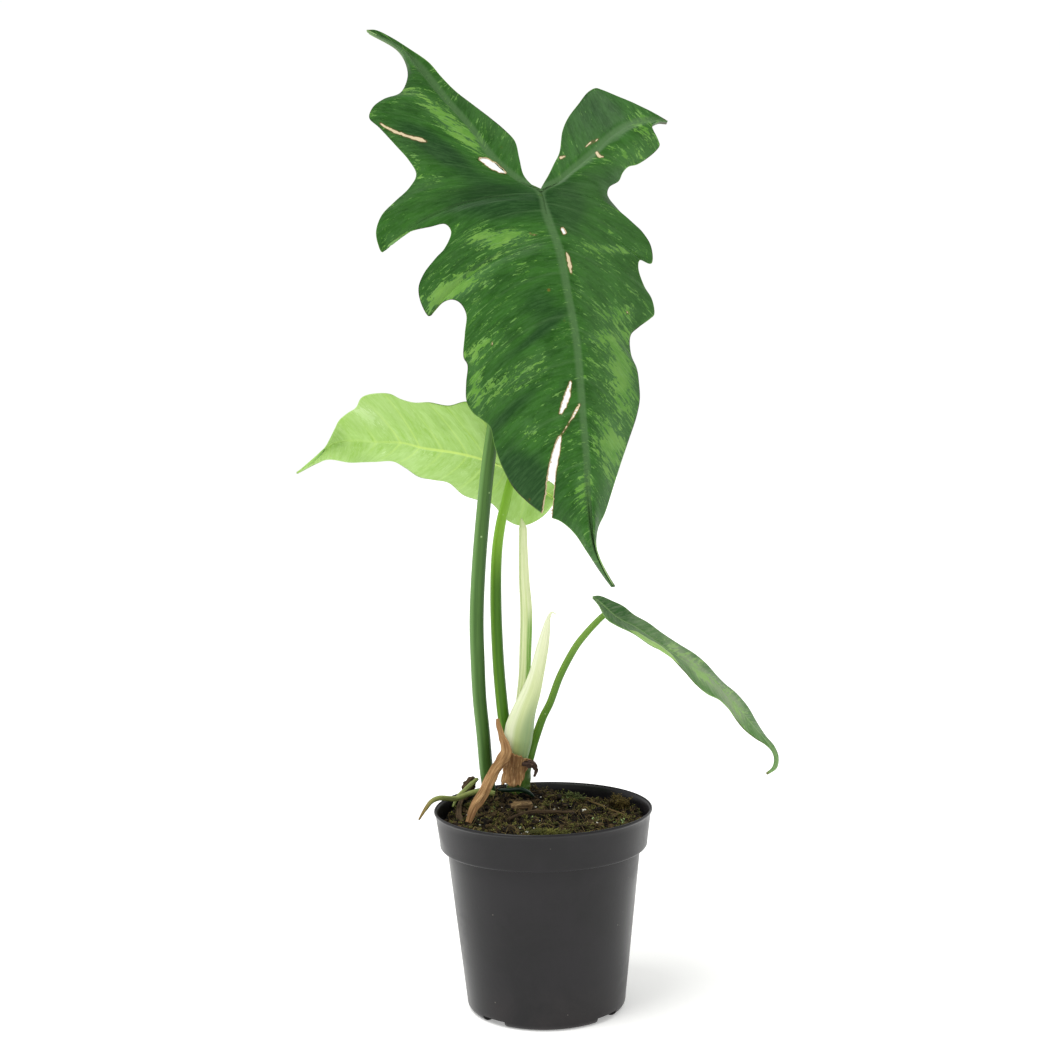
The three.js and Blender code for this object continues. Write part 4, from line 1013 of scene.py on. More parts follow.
def make_drooping_blade(columns):
    bm = begin_blade()
    stations = fine_stations((DROOPING_FAR, DROOPING_NEAR))
    veins = (1.0, 2.2, 3.4, 4.6, 5.8, 7.0, 8.2, 9.4, 10.6)
    half_blade(bm, DROOPING_RIB, DROOPING_FAR, stations, columns, 1, 0.0, 0.0, veins, 0.5)
    half_blade(bm, DROOPING_RIB, DROOPING_NEAR, stations, columns, -1, 0.0, 0.0, veins, 0.5)
    face_towards(bm, UP)
    groove(bm, 0.5, 1.2)
    marble(bm, DROOPING_MARBLING_AND_SHEEN)
    brown_tips(bm, [DROOPING_RIB[-1]])
    bmesh.ops.translate(bm, vec=DROOPING_TOP, verts=bm.verts)
    return finish_piece(bm, "drooping_blade", ("young_leaf_face", "young_leaf_under"),
                        ("blade_drooping_leaf",),
                        wall=0.5, outwards=False)


def make_rolled_margin():
    """The near margin of the drooping leaf, rolled over so that its pale underside shows."""
    roll = [
        (15, -18.8, -13.2), (18, -20.6, -14.4), (24, -23.6, -18.2), (30, -26.4, -21.6), (36, -28.8, -26),
        (40.5, -30.4, -30.6),
    ]
    route = [DROOPING_TOP + Vector(point) for point in roll]
    make_tube("rolled_margin", route, [0.3, 1.5, 1.9, 2.2, 1.5, 0.15], "rolled_skin", slot="leaf_young",
              sides=18,
              steps=8, flat=0.5, facing=UP, shape=crumpled(9, 0.08, 3))


RIB_FLAT = 0.6
RIB_OFFSET = 0.85
BACK = Vector((0, 1, 0))


def make_rib(name, rib, radius):
    """A rounded rib that stands out behind the large blade."""
    last = len(rib) - 1
    radii = [radius * (1 - 0.88 * i / last) for i in range(last + 1)]
    route = []
    for spot, girth in zip(rib, radii):
        route.append(LARGE_TOP + Vector(spot) + BACK * (RIB_FLAT * girth + RIB_OFFSET))
    make_tube(name, route, radii, "large_stalk_skin", slot="stalk_green", sides=14, steps=4, flat=RIB_FLAT,
              facing=BACK)


# ------------------------------------------------------------------ stalks, stem and sheaths
def scaled(radius, shares):
    return [radius * share for share in shares]


STEM_ROUTE = [above(PLANT_X, PLANT_Y, rise) for rise in (-8, 4, 12, 18, 26, STEM_TOP)]
STEM_RADII = [6.2, 6.9, 6.1, 7.1, 6.9, 6.4]
LARGE_STALK_ROUTE = rising(
    (-24, 32, -5), (-29.5, 35, 6), (-31.5, 34, 19), (-33, 30, 43), (-34.5, 26, 64),
    (-35, 22, 86), (-35, 18, 109), (-33.5, 14, 134), (-30.5, 8.5, 164),
    (-26, 2, 199), (-20.5, -4, 229), (-10, -11, 268), (-1, -16, 310),
    (3, -19, 330),
) + [LARGE_TOP + Vector((-0.3, 1.2, -0.8))]
LARGE_STALK_RADII = scaled(3.9, [1, 1, 1, 1, 1, 1.02, 1.02, 1, 0.98, 0.95, 0.9, 0.85, 0.8, 0.75, 0.6])
PALE_STALK_ROUTE = rising(
    (-19.6, 30, 30), (-20.6, 29.5, 45), (-22, 29, 60), (-23.5, 28, 83),
    (-24.2, 26, 120), (-23, 24.5, 147), (-20.5, 23.5, 163), (-17.5, 23.2, 175),
    (-15, 23.5, 185), (-13.4, 25.2, 191.5),
)
PALE_STALK_RADII = scaled(3.3, [1, 1, 1.02, 1, 0.97, 0.9, 0.85, 0.8, 0.72, 0.5])
DROOPING_STALK_ROUTE = rising(
    (-10, 28, 20), (-7, 27.5, 30), (-4.4, 27.5, 38), (-2, 26.5, 45), (1, 25.5, 53),
    (5, 24, 61), (11, 21, 77), (20, 17, 94), (26, 14, 102), (31, 10, 108),
    (35, 7, 112.2), (38.4, 4, 114.5),
)
DROOPING_STALK_RADII = scaled(2.15, [1.3, 1.3, 1.15, 1.1, 1.05, 1, 0.97, 0.92, 0.88, 0.84, 0.8, 0.6])
CATAPHYLL_ROUTE = rising(
    (-12.5, 31.5, 30), (-12.2, 30.5, 45), (-11, 28, 60), (-9, 25.5, 76),
    (-8, 23, 93), (-7.2, 21, 113), (-8, 20, 132), (-8.2, 19, 150), (-8.2, 18.7, 160.5),
    (-9, 18.6, 166),
)
CATAPHYLL_RADII = [2.6, 3.1, 3.2, 3.3, 3.4, 3.4, 2.9, 2.4, 2.2, 0.3]
SHOOT_ROUTE = rising(
    (-14.5, 22.5, 30), (-13.3, 20.5, 41), (-12, 19.5, 49), (-9.5, 18, 58),
    (-5, 16.5, 70), (-1.8, 14.8, 81), (1.2, 13.2, 94), (3.6, 11.8, 105), (5, 11, 111),
    (6.9, 10.6, 114.2), (9.4, 10.5, 113),
)
SHOOT_RADII = [6.4, 8, 8, 6.6, 5.2, 4, 3.3, 2.1, 1.1, 0.5, 0.2]


def stalk_shape(angle, share):
    """A stalk's section: nearly round, a little flatter at the front."""
    return 1 - 0.03 * math.cos(angle) + 0.008 * math.sin(9 * angle)


def cataphyll_shape(angle, share):
    """A channel down the back that closes towards the tip."""
    turn = math.atan2(math.sin(angle), math.cos(angle))
    return 1 - 0.42 * math.exp(-(turn / 0.42) ** 2) * (1 - 0.6 * share) + 0.02 * math.sin(7 * angle)


def shoot_shape(angle, share):
    """A rolled sheath whose free edge stands up a little and winds round towards the tip."""
    turn = math.atan2(math.sin(angle - 0.6 - share), math.cos(angle - 0.6 - share))
    edge = 0.1 * math.exp(-((turn - 0.1) / 0.12) ** 2) if turn > -0.2 else 0.0
    return 1 + edge + 0.012 * math.sin(15 * angle)


def stem_shape(angle, share):
    """A short stem with leaf scars: rings at each old leaf and a rough skin."""
    ring = 0.07 * math.exp(-(((share * 3.4) % 1.0 - 0.5) / 0.1) ** 2)
    return 1 + ring + 0.03 * noise.noise(Vector((math.cos(angle) * 2, math.sin(angle) * 2, share * 6)))


def make_collar():
    """The dry sheath round the stem: a crinkled sheet that leaves the stem bare low on the right."""
    rows, columns = 110, 56
    start, end = math.pi * 0.84, math.pi * 1.84
    bm = bmesh.new()

    def place(row, column):
        angle = start + (end - start) * row / rows
        share = column / columns
        ragged = 1.6 * noise.noise(Vector((angle * 2.2, 7, 0)))
        ragged += 1.0 * noise.noise(Vector((angle * 8, 3, 0)))
        low = 15.6 + ragged + 11 * even_steps(angle, math.pi * 1.52, math.pi * 1.72)
        high = STEM_TOP + 8.0 - 11.5 * (row / rows) + 1.6 * noise.noise(Vector((angle * 3.1, 1, 0)))
        high += 0.9 * noise.noise(Vector((angle * 11, 2, 0)))
        height = low + (high - low) * share
        fold = 0.75 * noise.noise(Vector((angle * 4.2, height * 0.1, 5)))
        drift = 3 * noise.noise(Vector((angle * 2, height * 0.15, 0)))
        pleat = 0.35 * math.sin(angle * 19 + height * 0.35 + drift)
        crinkle = 0.45 * noise.noise(Vector((angle * 11, height * 0.5, 5)))
        flare = 1.1 * even_steps(1 - share, 0.75, 1.0) + 0.8 * even_steps(share, 0.85, 1.0)
        radius = 8.35 + fold + pleat + crinkle + flare
        lean = even_steps(height, 22, 36)
        x = STEM_X + radius * math.cos(angle) + 1.5 * lean
        return Vector((x, STEM_Y + radius * math.sin(angle) - 5.0 * lean, SOIL_LEVEL + height))

    grid(bm, rows, columns, place, lambda row, column: (row / rows, column / columns * 0.2))
    return finish_piece(bm, "dry_collar", ("dry_sheath",), ("dried_sheath_collar",), wall=0.4)


def crumpled(seed, depth, ridges, wander=0.0, lengthwise=9.0):
    """A section shape for a dry strip: pleats that wander along it, and random dents."""
    def shape(angle, share):
        drift = wander * noise.noise(Vector((share * lengthwise * 0.4, seed, 0)))
        pleats = depth * math.sin(ridges * (angle + drift) + seed)
        around = Vector((math.cos(angle) * 1.5 + seed, math.sin(angle) * 1.5, share * lengthwise))
        return 1 + pleats + depth * 1.6 * noise.noise(around)
    return shape


def over_rim(*points):
    """Points by the pot's rim, each by its angle, how far outside the rim and how high over it."""
    made = []
    for angle, out, over in points:
        made.append(Vector((*spread(RIM_RADIUS + out, angle), POT_HEIGHT + over)))
    return made


DRY_STRIP_ROUTE = rising(
    (-24.4, 18, 54), (-23.7, 17.5, 49.5), (-22.4, 16, 45), (-20.6, 14.4, 40.5), (-20, 13.4, 36),
    (-22.6, 12, 31.5), (-25.9, 9, 27.5), (-29, 6, 22.5), (-32, 2, 17), (-35, -1.5, 13), (-38.3, -5.5, 8.5),
) + on_soil((-41, -8.5, 1.6))
DRY_STUB_ROUTE = rising(
    (-11.2, 16.4, 29.3), (-7.5, 16.6, 28.6), (-4.6, 17.6, 27), (-3.4, 18.4, 24), (-4.6, 18.4, 20.5))
LONG_ROOT_ROUTE = rising(
    (-27, 21.5, 10.5), (-34.5, 20.5, 12.4), (-42, 17, 11.6), (-48.3, 12.5, 10.4),
) + over_rim((3.055, -2.3, 4.6), (3.109, 1.4, 3.6), (3.142, 4.5, 0.2), (3.17, 8.4, -5.6))
SHORT_ROOT_ROUTE = rising((-36.8, 31.5, 17), (-39.8, 28.5, 15)) + on_soil(
    (-43.9, 25, 9.5), (-48, 21, 7), (-50.5, 17.5, 2.5))
OLD_STUB_ROUTE = on_soil((-24.5, 16, 7), (-20, 14.8, 6.6), (-12, 14.4, 5), (-7.5, 14.6, 3.2), (-5, 15, 1.6))
LEFT_DEAD_ROOT_ROUTE = on_soil((-45, 24, 6.5), (-47, 12, 3), (-46, 3, 1.6), (-44, -4, 1.2))
FRONT_DEAD_ROOT_ROUTE = on_soil((-20, -4, 1), (-8, 2, 1.6), (4, 3, 1.4), (18, 6, 1))
TWIG_ROUTE = on_soil((24, 38, 1.4), (32, 26, 2.4), (39, 14, 1.8), (46, 7, 1))
LEAF_SCRAP_ROUTE = on_soil((-38.5, 33.5, 14), (-40.5, 32.5, 12), (-43, 31, 8.5), (-45, 29, 4))

# ------------------------------------------------------------------ pot
BAND_HEIGHT = 20.8
BAND_TAPER = 3.0
BODY_STEP = 7.0
BODY_TAPER = 9.2
BASE_ROUND = 3.9
DRAIN_TURN = 0.06
DRAIN_COUNT = 4
DRAIN_WIDTH = 15.0
DRAIN_HEIGHT = 4.2
POT_WALL = 1.3
EDGE_SOFTNESS = 0.3


def arc_points(centre, radius, start, end, count):
    """Points of an arc in the profile's plane, angles in degrees."""
    made = []
    for i in range(count + 1):
        angle = math.radians(start + (end - start) * i / count)
        made.append((centre[0] + radius * math.cos(angle), centre[1] + radius * math.sin(angle)))
    return made


def pot_profile():
    """The outer skin from the middle of the base up to the lip and over it."""
    body_top = RIM_RADIUS - BODY_STEP
    base = body_top - BODY_TAPER
    band_foot = RIM_RADIUS - BAND_TAPER
    band_low = POT_HEIGHT - BAND_HEIGHT
    profile = [(0.0, 0.4), (8.0, 0.4), (20.0, 0.4), (base - 12, 0.4)]
    profile += [(base - inset, 0.0) for inset in (10.5, 8, 5)]
    profile += arc_points((base - BASE_ROUND, BASE_ROUND), BASE_ROUND, -86, -8, 7)
    body_steps = 10
    for i in range(body_steps + 1):
        reach = base + 0.2 + (body_top - base - 0.2) * i / body_steps
        profile.append((reach, 6 + (band_low - 8) * i / body_steps))
    profile += arc_points((body_top + 1.4, band_low - 1.3), 1.4, 180, 90, 4)
    profile += arc_points((band_foot - 1.3, band_low + 1.4), 1.3, -90, 0, 4)
    band_steps = 6
    for i in range(band_steps + 1):
        reach = band_foot + 0.05 + (BAND_TAPER - 0.9) * i / band_steps
        profile.append((reach, band_low + 2.5 + (BAND_HEIGHT - 4.8) * i / band_steps))
    profile += arc_points((RIM_RADIUS - 0.85, POT_HEIGHT - 0.85), 0.85, -60, 90, 7)
    return profile


def make_pot(sides):
    bm = bmesh.new()
    profile = pot_profile()
    spots = [bm.verts.new((radius, 0, height)) for radius, height in profile]
    edges = [bm.edges.new(pair) for pair in zip(spots, spots[1:])]
    bmesh.ops.spin(bm, geom=spots + edges, cent=(0, 0, 0), axis=UP, angle=TURN, steps=sides, use_merge=True)
    bmesh.ops.remove_doubles(bm, verts=bm.verts, dist=1e-3)
    base = RIM_RADIUS - BODY_STEP - BODY_TAPER
    doomed = []
    for face in bm.faces:
        spot = face.calc_center_median()
        reach = math.hypot(spot.x, spot.y)
        turn = (math.atan2(spot.y, spot.x) - DRAIN_TURN) / (TURN / DRAIN_COUNT)
        off = (turn - math.floor(turn) - 0.5) * (TURN / DRAIN_COUNT) * base
        if spot.z < DRAIN_HEIGHT and reach > base - 9 and abs(off) < DRAIN_WIDTH / 2:
            doomed.append(face)
    bmesh.ops.delete(bm, geom=doomed, context="FACES")
    for face in bm.faces:
        face.smooth = True
    bmesh.ops.recalc_face_normals(bm, faces=bm.faces)
    outer = sum((face.normal.dot(face.calc_center_median() - Vector((0, 0, 50))) for face in bm.faces))
    if outer < 0:
        bmesh.ops.reverse_faces(bm, faces=bm.faces)
    piece = finish_piece(bm, "pot_shell", ("nursery_plastic",), ("nursery_pot",),
                         outwards=False)
    shell = piece.modifiers.new("wall", "SOLIDIFY")
    shell.thickness = POT_WALL * METRE
    shell.offset = -1.0
    round_off = piece.modifiers.new("soft_edges", "BEVEL")
    round_off.width = EDGE_SOFTNESS * METRE
    round_off.segments = 2
    round_off.limit_method = "ANGLE"
    return piece


# ------------------------------------------------------------------ potting mix
def wall_reach(height):
    """The inside radius of the pot at a height."""
    band_low = POT_HEIGHT - BAND_HEIGHT
    if height > band_low:
        return RIM_RADIUS - BAND_TAPER + (BAND_TAPER - 0.7) * (height - band_low) / BAND_HEIGHT - 1.5
    return RIM_RADIUS - BODY_STEP - BODY_TAPER * (1 - height / band_low) - 1.5


MIX_REACH = wall_reach(SOIL_LEVEL)


def rough_rise(x, y):
    """The mix's surface with its lumps and crumbs."""
    rough = 1.9 * noise.fractal(Vector((x * 0.085, y * 0.085, 4)), 0.9, 2.1, 5)
    clumps = 1.1 * noise.noise(Vector((x * 0.3, y * 0.3, 6)))
    grains = 0.7 * noise.noise(Vector((x * 0.75, y * 0.75, 9)))
    return soil_rise(x, y) + rough + clumps + grains


def on_mix(x, y, rise=0.0):
    return Vector((x, y, SOIL_LEVEL + rough_rise(x, y) + rise))


def make_mix_body():
    """The top of the mix and its side down the pot's wall, as one closed lump."""
    rings, sides = 62, 190
    edge = MIX_REACH - 0.35
    walls = [SOIL_LEVEL - 4, POT_HEIGHT - BAND_HEIGHT + 2, POT_HEIGHT - BAND_HEIGHT - 2, 60, 30, 6]
    bm = bmesh.new()

    def place(row, column):
        angle = TURN * column / sides
        if row <= rings:
            reach = edge * row / rings
            fall = 1.2 * even_steps(reach, edge - 4, edge)
            return on_mix(*spread(reach, angle), -fall)
        index = row - rings - 1
        if index < len(walls):
            height = walls[index]
            reach = min(wall_reach(height), wall_reach(height - 1)) - 0.5
            return Vector((*spread(reach, angle), height))
        return Vector((0, 0, walls[-1]))

    rows = rings + len(walls) + 1
    made = grid(bm, rows, sides, place, lambda row, column: (column / sides, row / rows))
    bmesh.ops.remove_doubles(bm, verts=list(made), dist=1e-3)
    return finish_piece(bm, "mix_body", ("peat_ground",), ("potting_mix",))


def scatter(rng, count, edge, keep_clear=0.0):
    """Random places on the mix, evenly spread."""
    made = []
    while len(made) < count:
        reach = edge * math.sqrt(rng.random())
        angle = TURN * rng.random()
        x, y = spread(reach, angle)
        if math.hypot(x - STEM_X, y - STEM_Y) > keep_clear:
            made.append((x, y))
    return made


def add_crumb(bm, rng, centre, size, squash=0.75):
    """One low lump with random dents and a tone of its own."""
    layer = tone_layer(bm)
    tone = rng.random()
    lump = bmesh.ops.create_icosphere(bm, subdivisions=1, radius=1.0)["verts"]
    stretch = Vector((rng.uniform(0.7, 1.35), rng.uniform(0.7, 1.2), rng.uniform(0.5, squash))) * size
    turn = Matrix.Rotation(rng.uniform(0, TURN), 3, "Z") @ Matrix.Rotation(rng.uniform(-0.6, 0.6), 3, "X")
    for vert in lump:
        shape = vert.co * rng.uniform(0.75, 1.2)
        vert.co = centre + turn @ Vector((shape.x * stretch.x, shape.y * stretch.y, shape.z * stretch.z))
        vert[layer] = tone


def make_crumbs(count, chips, seed):
    rng = random.Random(seed)
    bm = bmesh.new()
    tone_layer(bm)
    for x, y in scatter(rng, count, MIX_REACH - 1.6, 7.5):
        size = rng.choice((0.5, 0.7, 0.9, 1.2, 1.6, 2.0))
        add_crumb(bm, rng, on_mix(x, y, size * 0.2), size)
    for x, y in scatter(rng, chips, MIX_REACH - 3, 8):
        size = rng.uniform(1.4, 2.8)
        add_crumb(bm, rng, on_mix(x, y, 0.5), size, 0.34)
    return finish_piece(bm, "mix_crumbs", ("peat_crumb",), outwards=False)


def add_strand(bm, rng, x, y, length, radius, lift):
    """One fibre that lies over the mix, bowed and with its ends tucked in."""
    heading = rng.uniform(0, TURN)
    bend = rng.uniform(-0.9, 0.9)
    points = []
    for i in range(5):
        share = i / 4
        turn = heading + bend * share
        x += math.cos(turn) * length / 4
        y += math.sin(turn) * length / 4
        if math.hypot(x, y) > MIX_REACH - 1.5:
            break
        points.append(on_mix(x, y, radius + lift * math.sin(math.pi * share) - 0.3 * abs(2 * share - 1)))
    if len(points) > 2:
        radii = [radius * (1 - 0.5 * i / len(points)) for i in range(len(points))]
        tube(bm, points, radii, sides=5, steps=3, facing=UP, tone=rng.random())


def make_strands(count, seed):
    rng = random.Random(seed)
    bm = bmesh.new()
    tone_layer(bm)
    for x, y in scatter(rng, count, MIX_REACH - 4, 8):
        radius = rng.choice((0.09, 0.11, 0.13, 0.16, 0.2, 0.3))
        add_strand(bm, rng, x, y, rng.uniform(3, 13), radius, rng.uniform(0.2, 2.6))
    return finish_piece(bm, "mix_strands", ("peat_fibre",))


def add_leaflet(bm, foot, blade, half_width):
    """A tiny closed leaf: pointed at both ends and a little thick in the middle."""
    across = blade.cross(UP).normalized() * half_width
    thick = across.cross(blade).normalized() * 0.07
    middle = foot + blade * 0.5
    start, tip = bm.verts.new(foot), bm.verts.new(foot + blade)
    ring = [bm.verts.new(middle + offset) for offset in (across, thick, -across, -thick)]
    for one, two in zip(ring, ring[1:] + ring[:1]):
        bm.faces.new((start, two, one))
        bm.faces.new((tip, one, two))


def add_moss_shoot(bm, rng, foot, height, lean):
    """One moss shoot: a bent stalk with leaflets in pairs."""
    heading = rng.uniform(0, TURN)
    out = Vector((math.cos(heading), math.sin(heading), 0))
    tip = foot + out * (height * lean) + UP * height
    middle = foot + out * (height * lean * 0.3) + UP * (height * 0.6)
    tube(bm, [foot, middle, tip], [0.16, 0.14, 0.08], sides=4, steps=2, facing=out)
    for i in range(7):
        share = 0.25 + 0.75 * i / 6
        spot = foot.lerp(middle, share * 2) if share < 0.5 else middle.lerp(tip, share * 2 - 1)
        turn = heading + i * 2.4 + rng.uniform(-0.4, 0.4)
        blade = Vector((math.cos(turn), math.sin(turn), rng.uniform(0.2, 0.8))) * rng.uniform(0.9, 1.6)
        add_leaflet(bm, spot, blade, 0.32)


def make_moss(name, node, x, y, reach, shoots, height, material, seed):
    """A tuft of moss shoots over a low cushion."""
    rng = random.Random(seed)
    bm = bmesh.new()
    for _ in range(shoots):
        angle, out = rng.uniform(0, TURN), math.sqrt(rng.random())
        px, py = x + reach[0] * out * math.cos(angle), y + reach[1] * out * math.sin(angle)
        if math.hypot(px, py) > MIX_REACH - 2:
            continue
        foot = on_mix(px, py, -0.3 + 0.35 * height * (1 - out * out))
        add_moss_shoot(bm, rng, foot, height * rng.uniform(0.45, 0.75), rng.uniform(0.2, 1.0))
    for _ in range(14):
        angle, out = rng.uniform(0, TURN), math.sqrt(rng.random()) * 0.8
        px, py = x + reach[0] * out * math.cos(angle), y + reach[1] * out * math.sin(angle)
        add_crumb(bm, rng, on_mix(px, py, 0.2 + 0.2 * height * (1 - out)), rng.uniform(0.9, 1.7), 1.0)
    return finish_piece(bm, name, (material,), (node,) if node else (), outwards=False)


def make_ground_moss(count, seed):
    """Single moss shoots and flat leaflets all over the mix."""
    rng = random.Random(seed)
    bm = bmesh.new()
    for x, y in scatter(rng, count, MIX_REACH - 3, 10):
        foot = on_mix(x, y, -0.2)
        add_moss_shoot(bm, rng, foot, rng.uniform(1.0, 2.6), rng.uniform(0.5, 2.0))
    return finish_piece(bm, "mix_moss", ("moss_olive",), outwards=False)


# Where weeds have come up: place on the mix and how large.
SPROUTS = [
    (16, 33, 1.3), (11, 30, 1.0), (-28, 7, 1.2), (-6, -4, 0.9), (29, -2, 1.2), (-13, -16, 1.0), (44, -6, 1.1),
    (38, -10, 0.9), (-36, -8, 0.9), (22, 14, 0.8), (4, 12, 0.7),
]


def make_sprouts(places, seed):
    """Small light-green weed rosettes on the mix."""
    rng = random.Random(seed)
    bm = bmesh.new()
    for x, y, size in places:
        for _ in range(9):
            foot = on_mix(x + rng.uniform(-1.6, 1.6) * size, y + rng.uniform(-1.6, 1.6) * size, 0.4)
            turn = rng.uniform(0, TURN)
            blade = Vector((math.cos(turn), math.sin(turn), rng.uniform(0.3, 1.1)))
            blade *= rng.uniform(0.9, 1.7) * size
            add_leaflet(bm, foot, blade, 0.42 * size)
    return finish_piece(bm, "sprouts", ("sprout_green",))


def make_grain(name, node, x, y, size, seed):
    """A perlite grain: a rough popped lump."""
    bm = bmesh.new()
    lump = bmesh.ops.create_icosphere(bm, subdivisions=3, radius=1.0)["verts"]
    centre = on_mix(x, y, size * 0.4)
    for vert in lump:
        dent = 1 + 0.22 * noise.noise(vert.co * 2.3 + Vector((seed, 0, 0))) + 0.1 * noise.noise(vert.co * 7)
        vert.co = centre + Vector((vert.co.x * size * 1.1, vert.co.y * size, vert.co.z * size * 0.8)) * dent
    for face in bm.faces:
        face.smooth = True
    return finish_piece(bm, name, ("perlite_grain",), (node,) if node else ())


def make_small_grains(count, seed):
    rng = random.Random(seed)
    bm = bmesh.new()
    for x, y in scatter(rng, count, MIX_REACH - 3, 12):
        add_crumb(bm, rng, on_mix(x, y, 0.25), rng.uniform(0.35, 0.8), 0.9)
    return finish_piece(bm, "small_grains", ("perlite_grain",), outwards=False)


def make_bark(name, node, x, y, halves, tilt, seed):
    """A split chip of bark with a layered edge."""
    bm = bmesh.new()
    centre = on_mix(x, y, halves[2] * 0.5)
    turn = Matrix.Rotation(tilt, 3, "Z") @ Matrix.Rotation(0.18, 3, "X")
    rows, columns = 28, 20

    def place(row, column):
        polar = math.pi * row / rows
        angle = TURN * column / columns
        point = Vector((*spread(math.sin(polar), angle), math.cos(polar)))
        boxy = Vector([math.copysign(abs(value) ** 0.55, value) for value in point])
        layered = 0.12 * math.sin(boxy.z * 9 + 3 * noise.noise(point * 2))
        dent = 1 + 0.16 * noise.noise(point * 3 + Vector((seed, 0, 0))) + layered * 0.5
        return centre + turn @ Vector((boxy.x * halves[0], boxy.y * halves[1], boxy.z * halves[2])) * dent

    made = grid(bm, rows, columns, place, lambda row, column: (column / columns * 0.3, row / rows * 0.2))
    bmesh.ops.remove_doubles(bm, verts=list(made), dist=1e-3)
    return finish_piece(bm, name, ("bark_skin",), (node,))


# ------------------------------------------------------------------ settings
FLOOR_HALF = 6.0  # metres, as are the camera's places
SEEN_SKY = 1.02
WINDOW_FROM = Vector((-0.6, -0.42, 1.5))
CAMERA_PLACE = Vector((-0.0043, -0.900, 0.3355))
CAMERA_PITCH = 0.080
CAMERA_ROLL = -0.019


class PotSettings(bpy.types.PropertyGroup):
    sides: bpy.props.IntProperty(name="Sides", description="Steps round the pot", default=160, min=24)


class LeafSettings(bpy.types.PropertyGroup):
    large_columns: bpy.props.IntProperty(
        name="Large leaf", description="Faces from rib to margin", default=46, min=6)
    pale_columns: bpy.props.IntProperty(
        name="Pale leaf", description="Faces from rib to margin", default=26, min=6)
    drooping_columns: bpy.props.IntProperty(
        name="Drooping leaf", description="Faces from rib to margin", default=20, min=4)


class StalkSettings(bpy.types.PropertyGroup):
    sides: bpy.props.IntProperty(name="Sides", description="Faces round each stalk", default=28, min=8)


class MixSettings(bpy.types.PropertyGroup):
    seed: bpy.props.IntProperty(name="Seed", description="Seed of the scattered bits", default=11)
    crumbs: bpy.props.IntProperty(name="Crumbs", description="Number of peat crumbs", default=1500, min=0)
    chips: bpy.props.IntProperty(name="Chips", description="Number of flat chips", default=110, min=0)
    strands: bpy.props.IntProperty(name="Strands", description="Number of fibres", default=900, min=0)
    moss: bpy.props.IntProperty(name="Moss shoots", description="Single moss shoots on the mix",
                                default=520, min=0)
    grains: bpy.props.IntProperty(name="Small grains", description="Small perlite grains", default=70, min=0)


class StageSettings(bpy.types.PropertyGroup):
    lens: bpy.props.FloatProperty(name="Lens", description="Focal length in millimetres", default=56.48)
    sun: bpy.props.FloatProperty(name="Window light", description="Strength of the light from the left",
                                 default=1.7)
    softness: bpy.props.FloatProperty(name="Softness", description="Width of the light in degrees",
                                      default=35.0)
    sky: bpy.props.FloatProperty(name="Sky", description="Strength of the even light", default=0.72)
    floor_glow: bpy.props.FloatProperty(name="Floor glow", description="Light given off by the floor",
                                        default=0.32)


# ------------------------------------------------------------------ operators
class PLANT_OT_materials(bpy.types.Operator):
    """Make every material of the plant and its pot"""
    bl_idname = "plant.materials"
    bl_label = "Materials"

    def execute(self, context):
        make_materials()
        return {"FINISHED"}


class PLANT_OT_pot(bpy.types.Operator):
    """Make the nursery pot"""
    bl_idname = "plant.pot"
    bl_label = "Pot"

    def execute(self, context):
        make_pot(context.scene.plant_pot.sides)
        return {"FINISHED"}


class PLANT_OT_leaves(bpy.types.Operator):
    """Make the three leaf blades and the ribs behind them"""
    bl_idname = "plant.leaves"
    bl_label = "Leaves"

    def execute(self, context):
        settings = context.scene.plant_leaves
        make_large_blade(settings.large_columns)
        make_pale_blade(settings.pale_columns)
        make_drooping_blade(settings.drooping_columns)
        make_rolled_margin()
        make_rib("large_midrib", MIDRIB_LARGE[:-3], 1.9)
        make_rib("large_left_rib", LARGE_LEFT_RIB[7::-1], 1.3)
        make_rib("large_right_rib", LARGE_RIGHT_RIB[7::-1], 1.3)
        return {"FINISHED"}


class PLANT_OT_stalks(bpy.types.Operator):
    """Make the stem, the leaf stalks, the cataphyll and the new shoot"""
    bl_idname = "plant.stalks"
    bl_label = "Stalks"

    def execute(self, context):
        sides = context.scene.plant_stalks.sides
        make_tube("stem", STEM_ROUTE, STEM_RADII, "stem_skin",
                  ("main_stem",), "stalk_green", sides=36, steps=8, shape=stem_shape)
        make_tube("large_stalk", LARGE_STALK_ROUTE, LARGE_STALK_RADII, "large_stalk_skin",
                  ("petiole_large_leaf",), "stalk_green", sides=sides, shape=stalk_shape)
        make_tube("pale_stalk", PALE_STALK_ROUTE, PALE_STALK_RADII, "pale_stalk_skin",
                  ("petiole_pale_leaf",), "stalk_bright", sides=sides, shape=stalk_shape)
        make_tube("drooping_stalk", DROOPING_STALK_ROUTE, DROOPING_STALK_RADII,
                  "drooping_stalk_skin", ("petiole_drooping_leaf",), "stalk_bright", sides=sides,
                  shape=stalk_shape)
        make_tube("cataphyll", CATAPHYLL_ROUTE, CATAPHYLL_RADII, "cataphyll_skin",
                  ("pale_cataphyll",), "sheath_cream", sides=40, flat=0.8, shape=cataphyll_shape)
        make_tube("new_shoot", SHOOT_ROUTE, SHOOT_RADII, "shoot_skin",
                  ("new_shoot_sheath",), "sheath_cream", sides=60, flat=0.6, shape=shoot_shape)
        return {"FINISHED"}


